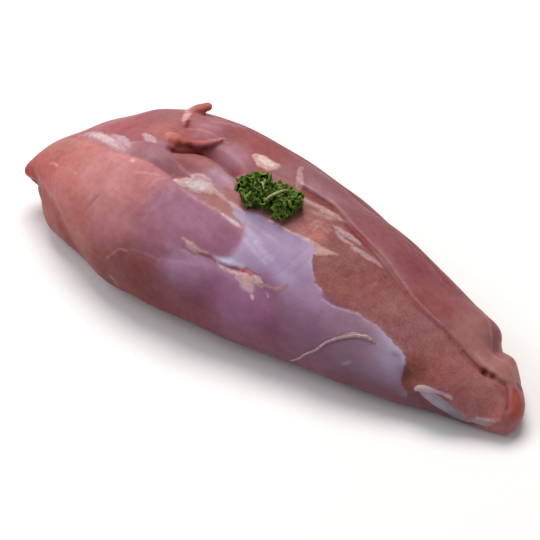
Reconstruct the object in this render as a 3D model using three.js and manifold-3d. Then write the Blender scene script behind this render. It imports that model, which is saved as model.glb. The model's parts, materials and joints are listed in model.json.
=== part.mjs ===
// A raw boneless veal shoulder, trimmed and lying as on a butcher's tray, with a sprig of
// curly parsley on top.
//
// All lengths are in millimetres. X runs along the meat from its thick end (-X) to its slim
// end (+X), Y runs from the front to the back, and Z is up from the surface it lies on.
//
// The meat's surface has a map of its own: a place is [x, angle], where the angle goes round
// the section from the front (0 degrees) over the top (90) to the back (180).

import * as THREE from 'three';
import { mergeVertices } from 'three/addons/utils/BufferGeometryUtils.js';
import Module from 'manifold-3d';

const wasm = await Module();
wasm.setup();

const { degToRad, lerp, radToDeg, smoothstep } = THREE.MathUtils;

// The driving sections of the meat, from the nose at the thick end to the slim tip.
const SECTIONS = [
  // x, front, back, top, crest, widest level, bottom (below 0 is pressed flat)
  [-207, -29, -29, 28, -29, 28, 28],
  [-202, -33, -15, 42, -23, 29, 18],
  [-190, -38, 9, 56, -15, 29, 4],
  [-172, -48, 31, 69, -9, 28, -3],
  [-139, -62, 57, 88, -1, 30, -6],
  [-92, -75, 73, 101, 7, 34, -7],
  [-34, -76, 77, 96, 11, 33, -7],
  [36, -67, 70, 81, 12, 30, -6],
  [101, -57, 54, 65, 8, 26, -5],
  [156, -42, 37, 48, 1, 21, -4],
  [191, -31, 15, 33, -8, 15, -3],
  [203, -27, -2, 22, -14, 11, 2],
  [207, -15, -15, 11, -15, 11, 11],
];
const TOP_FULLNESS = 2.3; // 2 is an ellipse, more is squarer
const UNDER_FULLNESS = 2.5;

// How finely the meat is cut into faces.
const RINGS = 78;
const STEPS_OVER = 58; // from one contact line over the top to the other
const STEPS_UNDER = 3; // across the flat underside
const CLOSER_AT_ENDS = 0.35; // 0 spaces the rings evenly
const CLOSER_AT_PARTING = 1.2; // 1 spaces the steps evenly
const LOWEST_CONTACT = 80; // degrees below the widest level
const FLOOR_MARGIN = 10; // the relief fades out over this height

// The line on the top that parts the front muscles from the back ones, from the nose over
// the pocket to the tip. The faces are laid along it.
const PARTING_LINE = [
  [-207, 92], [-176, 97], [-154, 81], [-134, 74], [-116, 71], [-91, 71], [-68, 74], [-50, 84],
  [-30, 93], [0, 103], [25, 102], [45, 99], [64, 96], [89, 90], [117, 84], [142, 85], [154, 79],
  [170, 74], [184, 77], [192, 82], [207, 84],
];

// Seams between the muscles: map points, half width and depth.
const GROOVES = [
  { name: 'nose muscle seam', width: 4.5, depth: 3,
    path: [[-176, 97], [-154, 81], [-134, 74], [-116, 71], [-91, 71], [-72, 72]] },
  { name: 'fold under the nose', width: 4, depth: 3,
    path: [[-188, 22], [-172, 17], [-154, 12], [-143, 1], [-136, -8]] },
  { name: 'front muscle seam', width: 6, depth: 1.5,
    path: [[-72, 20], [-45, 26], [-26, 35], [-10, 39], [13, 40], [35, 31], [46, 21]] },
  { name: 'back muscle seam', width: 4, depth: 2,
    path: [[0, 103], [25, 102], [45, 99], [64, 96], [89, 90], [117, 84], [142, 85], [154, 79]] },
  { name: 'gap at the slim end', width: 4.5, depth: 3.2,
    path: [[160, 77], [172, 74], [184, 77], [192, 81], [198, 69], [199, 48]] },
  { name: 'pocket under the flap', width: 6, depth: 6,
    path: [[-90, 82], [-82, 82], [-74, 84], [-66, 87]] },
  { name: 'hollow beside the pocket', width: 9, depth: 8,
    path: [[-66, 88], [-54, 88], [-43, 87], [-34, 86]] },
  { name: 'notch over the slim end', width: 6, depth: 4,
    path: [[169, 112], [170, 130], [170, 150], [169, 172]] },
];

// Swellings and hollows: middle on the map, reach along X and around the meat, and height.
const LUMPS = [
  { name: 'muscle in front of the pocket', at: [-62, 74], along: 22, around: 9, height: 4 },
  { name: 'nose muscle', at: [-182, 46], along: 20, around: 20, height: 2.5 },
  { name: 'under the nose', at: [-187, 2], along: 10, around: 12, height: -3 },
  { name: 'front muscle', at: [-30, 8], along: 55, around: 16, height: 1.5 },
  { name: 'flat muscle', at: [20, 60], along: 45, around: 20, height: 1.5 },
  { name: 'muscle behind the flap', at: [-124, 116], along: 14, around: 16, height: 2.5 },
  { name: 'hollow at the tendon', at: [138, 22], along: 8, around: 7, height: -4.5 },
  { name: 'end of the back muscle', at: [184, 118], along: 8, around: 12, height: 2 },
  { name: 'red nub at the tip', at: [201, 70], along: 6, around: 10, height: 1.5 },
  { name: 'dip behind the flap', at: [-28, 101], along: 20, around: 9, height: -1.5 },
];

// The back muscle stands over the cut face in front of it: by this step, which rises in the
// first degrees past the parting line and has gone again after the span.
const BACK_MUSCLE = { step: 3.4, edge: 6, span: 46, risesAt: [-14, 18], endsAt: [186, 200] };
const UNEVENNESS = 0.8; // slow waves all over

// The flap of meat that is folded over the pocket, between its free lip and its root.
const FLAP = {
  lip: [[-101, 97], [-95, 89], [-87, 84], [-78, 83], [-70, 85], [-64, 90], [-60, 97], [-56, 106]],
  root: [[-120, 126], [-117, 132], [-112, 136], [-106, 138], [-98, 138], [-90, 136], [-82, 132],
    [-72, 122]],
  lipLift: 2.5,
  rootLift: -8,
  lipThickness: 5.5,
  rootThickness: 8,
  endDepth: 4,
  slices: 16,
  facets: 18,
};
// The torn tag that stands up behind the flap: places on the map, lift and radius.
const TAG = [
  { at: [-112, 116], lift: -3, radius: 3 },
  { at: [-105, 117], lift: 0.5, radius: 4 },
  { at: [-98, 118], lift: 3, radius: 4 },
  { at: [-92, 119], lift: 5.5, radius: 3.2 },
  { at: [-86, 120], lift: 8, radius: 1.8 },
];
const TAG_FACETS = 8;

// The sprig: tufts of curls, each with its middle above the meat and its radius.
const TUFTS = [
  { at: [-14, 83], lift: 7, radius: 12, curls: 9 },
  { at: [9, 84], lift: 7, radius: 11.5, curls: 8 },
  { at: [-3, 86], lift: 6, radius: 9, curls: 2 },
];
const TUFT_CORE = 0.7; // share of a tuft's radius that is solid
const TUFT_COVER = 1.25; // how far down the curls go: 1 is to its middle, 2 all round
const CURL = {
  radius: 7,
  thickness: 1.1,
  cup: 2,
  wave: 1.7,
  lobes: 3,
  steps: 6,
  unevenTurn: 0.6, // radians
  unevenReach: 1.5,
};
const PARSLEY_GAP = 0.35; // between the sprig and the meat

const GOLDEN_ANGLE = Math.PI * (3 - Math.sqrt(5));

const bell = (value) => Math.exp(-value * value);

// Random numbers between 0 and 1, the same ones on each run.
function seededRandom(seed) {
  let state = seed;
  return () => {
    state = (state * 1664525 + 1013904223) % 4294967296;
    return state / 4294967296;
  };
}

// A curve through rows of numbers at the given knots, with the slope at each knot taken
// from its two neighbours.
function curveThrough(knots, rows) {
  const last = knots.length - 1;
  const slopes = rows.map((row, i) => {
    const before = Math.max(0, i - 1);
    const after = Math.min(last, i + 1);
    return row.map((_, k) => (rows[after][k] - rows[before][k]) / (knots[after] - knots[before]));
  });
  return (t) => {
    let i = 0;
    while (i < last - 1 && t > knots[i + 1]) i += 1;
    const span = knots[i + 1] - knots[i];
    const s = (t - knots[i]) / span;
    const rise = s * s * (3 - 2 * s);
    const leaving = s * (1 - s) ** 2 * span;
    const arriving = s * s * (s - 1) * span;
    return rows[i].map((value, k) => lerp(value, rows[i + 1][k], rise)
      + leaving * slopes[i][k] + arriving * slopes[i + 1][k]);
  };
}

// The sections' knots follow their spacing and their growth, so that both ends come out blunt.
function sectionKnots() {
  const knots = [0];
  for (let i = 1; i < SECTIONS.length; i += 1) {
    const [x0, front0, back0] = SECTIONS[i - 1];
    const [x1, front1, back1] = SECTIONS[i];
    const growth = (back1 - front1 - back0 + front0) / 2;
    knots.push(knots[i - 1] + Math.hypot(x1 - x0, growth));
  }
  return knots.map((knot) => knot / knots[knots.length - 1]);
}
const sectionAt = curveThrough(sectionKnots(), SECTIONS);

// The share of the way along the meat at which its section lies at x.
function shareAt(x) {
  let low = 0;
  let high = 1;
  for (let i = 0; i < 40; i += 1) {
    const middle = (low + high) / 2;
    if (sectionAt(middle)[0] < x) low = middle;
    else high = middle;
  }
  return (low + high) / 2;
}

// A point of the smooth form, before any seam or swelling.
function smoothPoint(share, angle) {
  const [x, front, back, top, crest, level, bottom] = sectionAt(share);
  const c = Math.cos(degToRad(angle));
  const s = Math.sin(degToRad(angle));
  const reach = c > 0 ? crest - front : back - crest;
  const rise = s > 0 ? top - level : level - bottom;
  const power = 2 / (s > 0 ? TOP_FULLNESS : UNDER_FULLNESS);
  return new THREE.Vector3(
    x,
    crest - Math.sign(c) * reach * Math.abs(c) ** power,
    level + Math.sign(s) * rise * Math.abs(s) ** power,
  );
}

// The outward direction there, from two short steps on the smooth form.
function smoothNormal(share, angle) {
  const shareStep = 0.004;
  const angleStep = 1.5;
  const along = smoothPoint(Math.min(1, share + shareStep), angle)
    .sub(smoothPoint(Math.max(0, share - shareStep), angle));
  const around = smoothPoint(share, angle + angleStep).sub(smoothPoint(share, angle - angleStep));
  return along.cross(around).normalize();
}

function liftedPoint(share, angle, lift) {
  return smoothPoint(share, angle).addScaledVector(smoothNormal(share, angle), lift);
}

// A path on the meat as a string of points in space.
function pathOnMeat(mapPoints) {
  const knots = mapPoints.map((_, i) => i);
  const curve = curveThrough(knots, mapPoints);
  const steps = (mapPoints.length - 1) * 5;
  return Array.from({ length: steps + 1 }, (_, i) => {
    const [x, angle] = curve((i / steps) * (mapPoints.length - 1));
    return smoothPoint(shareAt(x), angle);
  });
}

function distanceToPath(point, path) {
  const nearest = new THREE.Vector3();
  let best = Infinity;
  for (let i = 1; i < path.length; i += 1) {
    new THREE.Line3(path[i - 1], path[i]).closestPointToPoint(point, true, nearest);
    best = Math.min(best, nearest.distanceTo(point));
  }
  return best;
}

const partingAngle = curveThrough(PARTING_LINE.map(([x]) => x), PARTING_LINE.map(([, a]) => [a]));

const groovePaths = GROOVES.map((groove) => pathOnMeat(groove.path));
const lumpMiddles = LUMPS.map(({ at }) => smoothPoint(shareAt(at[0]), at[1]));

// How far the real surface stands over the smooth form at a point of it.
function relief(point, angle) {
  let height = 0;
  GROOVES.forEach((groove, i) => {
    const away = distanceToPath(point, groovePaths[i]);
    height -= groove.depth * bell(away / groove.width);
  });
  LUMPS.forEach((lump, i) => {
    const away = point.clone().sub(lumpMiddles[i]);
    height += lump.height
      * bell(away.x / lump.along) * bell(Math.hypot(away.y, away.z) / lump.around);
  });
  const pastSeam = angle - partingAngle(point.x)[0];
  const acrossBack = smoothstep(pastSeam, 0, BACK_MUSCLE.edge)
    * (1 - smoothstep(pastSeam, BACK_MUSCLE.edge, BACK_MUSCLE.span));
  const alongBack = smoothstep(point.x, ...BACK_MUSCLE.risesAt)
    * (1 - smoothstep(point.x, ...BACK_MUSCLE.endsAt));
  height += BACK_MUSCLE.step * acrossBack * alongBack;
  const waves = Math.sin(point.x * 0.061 + 0.7) * Math.sin(point.y * 0.083 + point.z * 0.057)
    + 0.6 * Math.sin(point.x * 0.127 + point.z * 0.093) * Math.cos(point.y * 0.109 + 1.3);
  return height + UNEVENNESS * waves;
}

// A closed mesh from rings of points, with a single point at each end. Seen from its last
// end, each ring runs clockwise. Each four-sided face is split across its shorter diagonal.
function loft(rings, first, last) {
  const around = rings[0].length;
  const points = [first, ...rings.flat(), last];
  const index = (ring, j) => 1 + ring * around + (j % around);
  const faces = [];
  for (let j = 0; j < around; j += 1) {
    faces.push(0, index(0, j), index(0, j + 1));
    faces.push(points.length - 1, index(rings.length - 1, j + 1), index(rings.length - 1, j));
    for (let ring = 0; ring + 1 < rings.length; ring += 1) {
      const [a, b] = [index(ring, j), index(ring, j + 1)];
      const [c, d] = [index(ring + 1, j), index(ring + 1, j + 1)];
      const shorter = points[a].distanceTo(points[d]) <= points[c].distanceTo(points[b]);
      faces.push(...(shorter ? [a, c, d, a, d, b] : [a, c, b, c, d, b]));
    }
  }
  const geometry = new THREE.BufferGeometry().setFromPoints(points);
  geometry.setIndex(faces);
  return geometry;
}

function solidFrom(geometry) {
  const bare = geometry.clone();
  bare.deleteAttribute('normal');
  bare.deleteAttribute('uv');
  const merged = mergeVertices(bare, 1e-4);
  return new wasm.Manifold(new wasm.Mesh({
    numProp: 3,
    vertProperties: new Float32Array(merged.attributes.position.array),
    triVerts: new Uint32Array(merged.index.array),
  }));
}

// The largest piece of a solid, without loose scraps.
function largestPiece(solid) {
  return solid.decompose().reduce((a, b) => (a.volume() > b.volume() ? a : b));
}

function geometryFrom(solid) {
  const { vertProperties, triVerts } = solid.getMesh();
  const geometry = new THREE.BufferGeometry();
  geometry.setAttribute('position', new THREE.BufferAttribute(vertProperties, 3));
  geometry.setIndex(new THREE.BufferAttribute(triVerts, 1));
  geometry.computeVertexNormals();
  return geometry;
}

// The meat without its flap, grown outwards by a margin.
function meatBody(margin) {
  const rings = [];
  for (let i = 1; i < RINGS; i += 1) {
    const even = i / RINGS;
    const closerAtEnds = (1 - Math.cos(Math.PI * even)) / 2;
    rings.push(meatRing(lerp(even, closerAtEnds, CLOSER_AT_ENDS), margin));
  }
  const nose = smoothPoint(0, 0);
  const tip = smoothPoint(1, 0);
  nose.x -= margin;
  tip.x += margin;
  return loft(rings, nose, tip);
}

// One section of the meat: over the top from its front contact line to its back one, then
// back along the underside, which lies flat where the form would reach below the surface.
function meatRing(share, margin) {
  const [x, , , , , level, bottom] = sectionAt(share);
  const pressed = Math.min(1, level / (level - bottom)) ** (UNDER_FULLNESS / 2);
  const contact = Math.min(LOWEST_CONTACT, radToDeg(Math.asin(pressed)));
  const [parting] = partingAngle(x);
  const ring = [];
  for (let j = 0; j <= STEPS_OVER; j += 1) {
    const side = (2 * j) / STEPS_OVER - 1;
    const contactAngle = side < 0 ? -contact : 180 + contact;
    const angle = lerp(parting, contactAngle, Math.abs(side) ** CLOSER_AT_PARTING);
    const base = smoothPoint(share, angle);
    const height = relief(base, angle) * smoothstep(base.z, 0, FLOOR_MARGIN);
    const point = liftedPoint(share, angle, height + margin);
    const isContact = j === 0 || j === STEPS_OVER;
    point.z = Math.max(0, isContact ? base.z : point.z);
    ring.push(point);
  }
  const [front, back] = [ring[0], ring[STEPS_OVER]];
  for (let j = 1; j < STEPS_UNDER; j += 1) {
    const under = back.clone().lerp(front, j / STEPS_UNDER);
    const angle = lerp(180 + contact, 360 - contact, j / STEPS_UNDER);
    under.z = Math.max(0, smoothPoint(share, angle).z);
    ring.push(under);
  }
  return ring;
}

// The flap: a tongue of meat from its rounded free lip to its buried root. Its ends are
// thinner and lie deeper, so that they run into the meat.
function flap() {
  const knots = FLAP.lip.map((_, i) => i / (FLAP.lip.length - 1));
  const lipPlace = curveThrough(knots, FLAP.lip);
  const rootPlace = curveThrough(knots, FLAP.root);
  const pointAt = (side, inward, lift) => {
    const [lipX, lipAngle] = lipPlace(side);
    const [rootX, rootAngle] = rootPlace(side);
    const share = shareAt(lerp(lipX, rootX, inward));
    return liftedPoint(share, lerp(lipAngle, rootAngle, inward), lift);
  };
  const rings = [];
  for (let i = 1; i < FLAP.slices; i += 1) {
    const side = i / FLAP.slices;
    const fullness = Math.sqrt(Math.sin(Math.PI * side));
    rings.push(Array.from({ length: FLAP.facets }, (_, j) => {
      const turn = (2 * Math.PI * j) / FLAP.facets;
      const inward = (1 - Math.cos(turn)) / 2;
      const thickness = lerp(FLAP.lipThickness, FLAP.rootThickness, inward) * fullness;
      const middle = lerp(FLAP.lipLift, FLAP.rootLift, inward ** 2) - FLAP.endDepth * (1 - fullness);
      return pointAt(side, inward, middle + (Math.sin(turn) * thickness) / 2);
    }));
  }
  return loft(rings, pointAt(0, 0.5, -FLAP.endDepth), pointAt(1, 0.5, -FLAP.endDepth));
}

// A round bar that follows the given middles, with a radius at each.
function bar(middles, radii, facets) {
  const rings = [];
  for (let i = 1; i + 1 < middles.length; i += 1) {
    const direction = middles[i + 1].clone().sub(middles[i - 1]).normalize();
    const side = new THREE.Vector3(0, 0, 1).cross(direction).normalize();
    const up = direction.clone().cross(side);
    rings.push(Array.from({ length: facets }, (_, j) => {
      const turn = (-2 * Math.PI * j) / facets;
      return middles[i].clone()
        .addScaledVector(side, radii[i] * Math.cos(turn))
        .addScaledVector(up, radii[i] * Math.sin(turn));
    }));
  }
  return loft(rings, middles[0], middles[middles.length - 1]);
}

function tag() {
  const middles = TAG.map(({ at, lift }) => liftedPoint(shareAt(at[0]), at[1], lift));
  return bar(middles, TAG.map(({ radius }) => radius), TAG_FACETS);
}

// One curl of parsley: a thin cupped leaf with a wavy rim.
function curl(middle, outward, spin, size) {
  const tilt = new THREE.Quaternion().setFromUnitVectors(new THREE.Vector3(0, 0, 1), outward);
  const place = (radius, step, height) => {
    const turn = spin - (2 * Math.PI * step) / CURL.steps;
    return new THREE.Vector3(radius * Math.cos(turn), radius * Math.sin(turn), height)
      .applyQuaternion(tilt).add(middle);
  };
  const steps = [...Array(CURL.steps).keys()];
  const wave = (step) => Math.cos((2 * Math.PI * CURL.lobes * step) / CURL.steps);
  const flatRing = (height) => steps.map((step) => place(size / 2, step, height));
  const rim = (height) => steps.map((step) => (
    place(size, step, height + CURL.cup + CURL.wave * wave(step))
  ));
  const half = CURL.thickness / 2;
  return loft([flatRing(-half), rim(-half), rim(half), flatRing(half)],
    place(0, 0, -half), place(0, 0, half));
}

// One tuft: a round core with curls all over it, spread by the golden angle down to just
// below its middle.
function tuft({ at, lift, radius, curls }, random) {
  const middle = liftedPoint(shareAt(at[0]), at[1], lift);
  const core = new THREE.IcosahedronGeometry(radius * TUFT_CORE, 1);
  core.translate(middle.x, middle.y, middle.z);
  const parts = [solidFrom(core)];
  for (let i = 0; i < curls; i += 1) {
    const height = 1 - (TUFT_COVER * (i + 0.5)) / curls;
    const turn = i * GOLDEN_ANGLE + random() * CURL.unevenTurn;
    const flat = Math.sqrt(1 - height * height);
    const outward = new THREE.Vector3(flat * Math.cos(turn), flat * Math.sin(turn), height);
    const reach = radius - CURL.cup - CURL.wave + random() * CURL.unevenReach;
    const seat = middle.clone().addScaledVector(outward, reach);
    const size = CURL.radius * lerp(0.8, 1.15, random());
    parts.push(solidFrom(curl(seat, outward, random() * Math.PI, size)));
  }
  return parts;
}

function parsley(meatAndGap) {
  const random = seededRandom(7);
  const parts = TUFTS.flatMap((each) => tuft(each, random));
  return largestPiece(parts.reduce((a, b) => a.add(b)).subtract(meatAndGap));
}

function material(color, roughness) {
  return new THREE.MeshStandardMaterial({ color, roughness, metalness: 0 });
}

function namedMesh(name, solid, finish) {
  const mesh = new THREE.Mesh(geometryFrom(solid), finish);
  mesh.name = name;
  return mesh;
}

const flapSolid = solidFrom(flap());
const meat = solidFrom(meatBody(0)).add(flapSolid).add(solidFrom(tag()));
const meatAndGap = solidFrom(meatBody(PARSLEY_GAP)).add(flapSolid);

const veal = new THREE.Group();
veal.add(namedMesh('veal_shoulder', largestPiece(meat), material(0xa8666a, 0.42)));
veal.add(namedMesh('parsley_sprig', parsley(meatAndGap), material(0x2f6414, 0.55)));

// The origin is on the surface that the meat lies on, under the middle of its outline.
const box = new THREE.Box3().setFromObject(veal);
for (const mesh of veal.children) {
  mesh.geometry.translate(-(box.min.x + box.max.x) / 2, -(box.min.y + box.max.y) / 2, 0);
}

export default veal;
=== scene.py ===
# %% [markdown]
# # A raw boneless veal shoulder with a sprig of parsley
#
# The real thing is one long piece of raw meat, cut free of its bones. It is 41 cm long, and
# tapers from a thick round nose to a slim tip. A thin shiny film, the silverskin, still covers
# part of it, flecks of fat sit along the seams between its muscles, and a curly parsley sprig
# lies on top. This lesson rebuilds it round two solids that a CAD program made at true size.

# %% Load the fixed frame
import json
import math
import random

import bpy
import numpy as np
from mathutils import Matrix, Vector, noise
from mathutils.bvhtree import BVHTree

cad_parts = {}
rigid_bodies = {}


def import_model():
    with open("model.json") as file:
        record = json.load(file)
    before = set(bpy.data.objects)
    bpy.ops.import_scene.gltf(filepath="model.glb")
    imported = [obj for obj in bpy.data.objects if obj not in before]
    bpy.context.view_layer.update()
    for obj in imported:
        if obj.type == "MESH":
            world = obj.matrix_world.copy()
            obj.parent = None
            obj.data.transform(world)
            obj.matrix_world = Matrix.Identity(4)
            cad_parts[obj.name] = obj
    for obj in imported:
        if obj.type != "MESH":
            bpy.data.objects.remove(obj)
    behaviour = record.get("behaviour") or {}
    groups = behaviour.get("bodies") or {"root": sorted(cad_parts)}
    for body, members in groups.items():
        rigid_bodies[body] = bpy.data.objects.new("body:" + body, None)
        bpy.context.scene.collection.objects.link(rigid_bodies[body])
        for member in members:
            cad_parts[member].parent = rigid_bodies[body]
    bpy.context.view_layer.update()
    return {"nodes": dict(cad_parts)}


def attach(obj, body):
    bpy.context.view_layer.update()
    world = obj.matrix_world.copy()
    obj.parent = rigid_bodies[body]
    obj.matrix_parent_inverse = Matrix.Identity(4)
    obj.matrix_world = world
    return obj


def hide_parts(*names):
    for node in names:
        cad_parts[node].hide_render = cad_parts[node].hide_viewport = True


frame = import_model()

MM = 0.001
print("CAD pieces:", sorted(frame["nodes"]))

# %% [markdown]
# ## The camera
#
# The photograph looks down on the meat from its front right. Its perspective is weak, so the
# camera stands more than a metre away behind a long lens. Azimuth 0 looks from the front
# along +Y, and a positive azimuth walks round towards +X.

# %% The camera
def direction(azimuth, elevation):
    """The unit vector from the meat towards a camera or a lamp, from two angles in degrees."""
    a = math.radians(azimuth)
    e = math.radians(elevation)
    return Vector((math.sin(a) * math.cos(e), -math.cos(a) * math.cos(e), math.sin(e)))


def aim(thing, target):
    """Turns a camera or a lamp so that its -Z axis points at the target."""
    thing.rotation_euler = (target - thing.location).to_track_quat("-Z", "Y").to_euler()


LOOK_AT = Vector((5.5, -14, 38)) * MM
SEEN_FROM = (35, 44)  # azimuth and elevation in degrees
CAMERA_DISTANCE = 1210  # mm
camera = bpy.data.objects.new("photo_camera", bpy.data.cameras.new("photo_camera"))
camera.data.lens = 116
camera.data.sensor_width = 36
camera.location = LOOK_AT + direction(*SEEN_FROM) * CAMERA_DISTANCE * MM
aim(camera, LOOK_AT)
bpy.context.scene.collection.objects.link(camera)
bpy.context.scene.camera = camera
print("camera at", [round(v, 3) for v in camera.location])

# %% [markdown]
# ## Colours and light
#
# Colours are written as sRGB hex values, the way a picture editor gives them, and one function
# turns them into the linear numbers that Blender computes with. The view transform is
# Standard, so that a colour in the render means the same as one in the photograph.
#
# The photograph has soft light from above and a little behind, as under a large lamp over a
# table. One large area lamp does that, a weaker one opens the shadows at the front, and a
# pale world stands for the bright room.

# %% Colours and light
def linear(hex_colour):
    """Linear red, green, blue and alpha of an sRGB colour such as '#c17f7b'."""
    parts = [int(hex_colour[i:i + 2], 16) / 255 for i in (1, 3, 5)]
    return [v / 12.92 if v <= 0.04045 else ((v + 0.055) / 1.055) ** 2.4 for v in parts] + [1.0]


def soft_lamp(name, azimuth, elevation, distance, size, watts, colour):
    """A round area lamp that points at the meat."""
    lamp = bpy.data.lights.new(name, "AREA")
    lamp.shape = "DISK"
    lamp.size = size
    lamp.energy = watts
    lamp.color = linear(colour)[:3]
    holder = bpy.data.objects.new(name, lamp)
    holder.location = LOOK_AT + direction(azimuth, elevation) * distance
    aim(holder, LOOK_AT)
    bpy.context.scene.collection.objects.link(holder)


soft_lamp("large_lamp_above", -140, 72, 1.5, 1.0, 19.5, "#fffaf4")
soft_lamp("weak_lamp_front", -50, 45, 1.8, 1.4, 9.5, "#f6f7ff")

world = bpy.data.worlds.new("bright_room")
bpy.context.scene.world = world
world.use_nodes = True
world.node_tree.nodes["Background"].inputs["Color"].default_value = linear("#f4f4f6")
world.node_tree.nodes["Background"].inputs["Strength"].default_value = 0.36
bpy.context.scene.view_settings.view_transform = "Standard"
bpy.context.scene.view_settings.look = "None"

# %% [markdown]
# ## Adding nodes
#
# Every material here is built from nodes. One small function adds a node, sets it up and
# joins its inputs. It gives back one output, ready to be an input of the next node. A second
# function closes a material: it lays the fine relief under the Principled shader and joins
# that to the output.

# %% One function for every node
def add_node(tree, kind, inputs=(), output=0, **settings):
    """Adds a node and returns one output. The inputs are numbers, colours or outputs, in a
    dictionary by name or in a list in the node's own order."""
    made = tree.nodes.new(kind)
    for name, value in settings.items():
        setattr(made, name, value)
    for name, value in inputs.items() if isinstance(inputs, dict) else enumerate(inputs):
        socket = made.inputs[name] if isinstance(name, int) else next(
            s for s in made.inputs if name in (s.identifier, s.name))
        if isinstance(value, bpy.types.NodeSocket):
            tree.links.new(value, socket)
        else:
            socket.default_value = value
    if isinstance(output, int):
        return made.outputs[output] if made.outputs else None
    return next(s for s in made.outputs if output in (s.identifier, s.name))


def empty_material(name):
    """A new material without nodes, and its node tree."""
    material = bpy.data.materials.new(name)
    material.use_nodes = True
    material.node_tree.nodes.clear()
    return material, material.node_tree


def finished(material, tree, look, relief=None):
    """The material with a Principled surface of that look, and with fine relief in mm."""
    if relief is not None:
        bump = {"Strength": 1.0, "Distance": MM, "Height": relief}
        look = {**look, "Normal": add_node(tree, "ShaderNodeBump", bump, output="Normal")}
    surface = add_node(tree, "ShaderNodeBsdfPrincipled", look)
    add_node(tree, "ShaderNodeOutputMaterial", {"Surface": surface})
    return material


print("materials so far:", len(bpy.data.materials))

# %% [markdown]
# ## The floor
#
# A plain pale matt board to lie on. It isn't part of the object. A matt paint has no shine to
# speak of, and a faintly uneven tone keeps it from looking empty.

# %% The floor
FLOOR_HALF = 6.0


def matt_white_board():
    """Matt wall paint on a board: its tone wanders by about one part in a hundred."""
    material, tree = empty_material("matt_white_board")
    unevenness = add_node(tree, "ShaderNodeTexNoise", {"Scale": 6.0, "Detail": 2.0})
    tone = add_node(tree, "ShaderNodeMix",
                    {"Factor_Float": unevenness, "A_Color": linear("#f4f4f3"),
                     "B_Color": linear("#fafaf9")},
                    output="Result_Color", data_type="RGBA")
    return finished(material, tree, {"Base Color": tone, "Roughness": 0.9})


board = bpy.data.meshes.new("board")
board.from_pydata([(-FLOOR_HALF, -FLOOR_HALF, 0), (FLOOR_HALF, -FLOOR_HALF, 0),
                   (FLOOR_HALF, FLOOR_HALF, 0), (-FLOOR_HALF, FLOOR_HALF, 0)], [], [(0, 1, 2, 3)])
floor = bpy.data.objects.new("floor", board)
floor.data.materials.append(matt_white_board())
bpy.context.scene.collection.objects.link(floor)
print("floor", 2 * FLOOR_HALF, "m wide")

# %% [markdown]
# ## The map of the meat
#
# Meat has no straight edges to measure from, so it gets a map of its own. A place on it is
# [x, angle]: x runs along the meat from the nose to the tip in millimetres, and the angle goes
# round the section from the front (0 degrees) over the top (90) to the back (180). Thirteen
# sections give the smooth form, and a curve through them gives the form in between. Everything
# later, seams, film, fat and colours, is then placed on this map.

# %% Sections and the curve through them
SECTIONS = [
    # x, front, back, top, crest, widest level, bottom (below 0 is pressed flat)
    [-207, -29, -29, 28, -29, 28, 28],
    [-202, -33, -15, 42, -23, 29, 18],
    [-190, -38, 9, 56, -15, 29, 4],
    [-172, -48, 31, 69, -9, 28, -3],
    [-139, -62, 57, 88, -1, 30, -6],
    [-92, -75, 73, 101, 7, 34, -7],
    [-34, -76, 77, 96, 11, 33, -7],
    [36, -67, 70, 81, 12, 30, -6],
    [101, -57, 54, 65, 8, 26, -5],
    [156, -42, 37, 48, 1, 21, -4],
    [191, -31, 15, 33, -8, 15, -3],
    [203, -27, -2, 22, -14, 11, 2],
    [207, -15, -15, 11, -15, 11, 11],
]
FRONT, BACK, LEVEL, BOTTOM = 1, 2, 5, 6  # columns of the section rows
SHIFT_Y = 0.63  # the solids are centred on their outline, the sections are not


def curve_through(knots, rows):
    """A smooth curve through rows of numbers, as a function of where along it to look."""
    knots = np.asarray(knots, float)
    rows = np.asarray(rows, float)
    before = np.maximum(np.arange(len(knots)) - 1, 0)
    after = np.minimum(np.arange(len(knots)) + 1, len(knots) - 1)
    slopes = (rows[after] - rows[before]) / (knots[after] - knots[before])[:, None]

    def at(t):
        t = np.asarray(t, float)
        i = np.clip(np.searchsorted(knots, t, side="right") - 1, 0, len(knots) - 2)
        span = (knots[i + 1] - knots[i])[..., None]
        s = (t[..., None] - knots[i][..., None]) / span
        rise = s * s * (3 - 2 * s)
        leaving = s * (1 - s) ** 2 * span
        arriving = s * s * (s - 1) * span
        return (rows[i] + (rows[i + 1] - rows[i]) * rise
                + leaving * slopes[i] + arriving * slopes[i + 1])

    return at


def section_knots():
    """Knots that follow the sections' spacing and growth, so both ends come out blunt."""
    rows = np.array(SECTIONS, float)
    growth = np.diff(rows[:, BACK] - rows[:, FRONT]) / 2
    knots = np.concatenate([[0], np.cumsum(np.hypot(np.diff(rows[:, 0]), growth))])
    return knots / knots[-1]


section_at = curve_through(section_knots(), SECTIONS)
SHARES = np.linspace(0, 1, 6001)
X_AT_SHARES = section_at(SHARES)[:, 0]


def share_at(x):
    """The share of the way along the meat at which its section lies at x."""
    return np.interp(x, X_AT_SHARES, SHARES)


print("the meat is", np.ptp(X_AT_SHARES), "mm long")

# %% [markdown]
# ## From the map to space and back
#
# A section is a squarish oval, fuller than an ellipse, with its widest level low down. The
# formula can be turned round: a point in space tells its own place on the map. That is how a
# finished mesh later knows where its film and its fat belong.

# %% Map to space, and space to map
TOP_FULLNESS = 2.3  # 2 is an ellipse, more is squarer
UNDER_FULLNESS = 2.5


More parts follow.
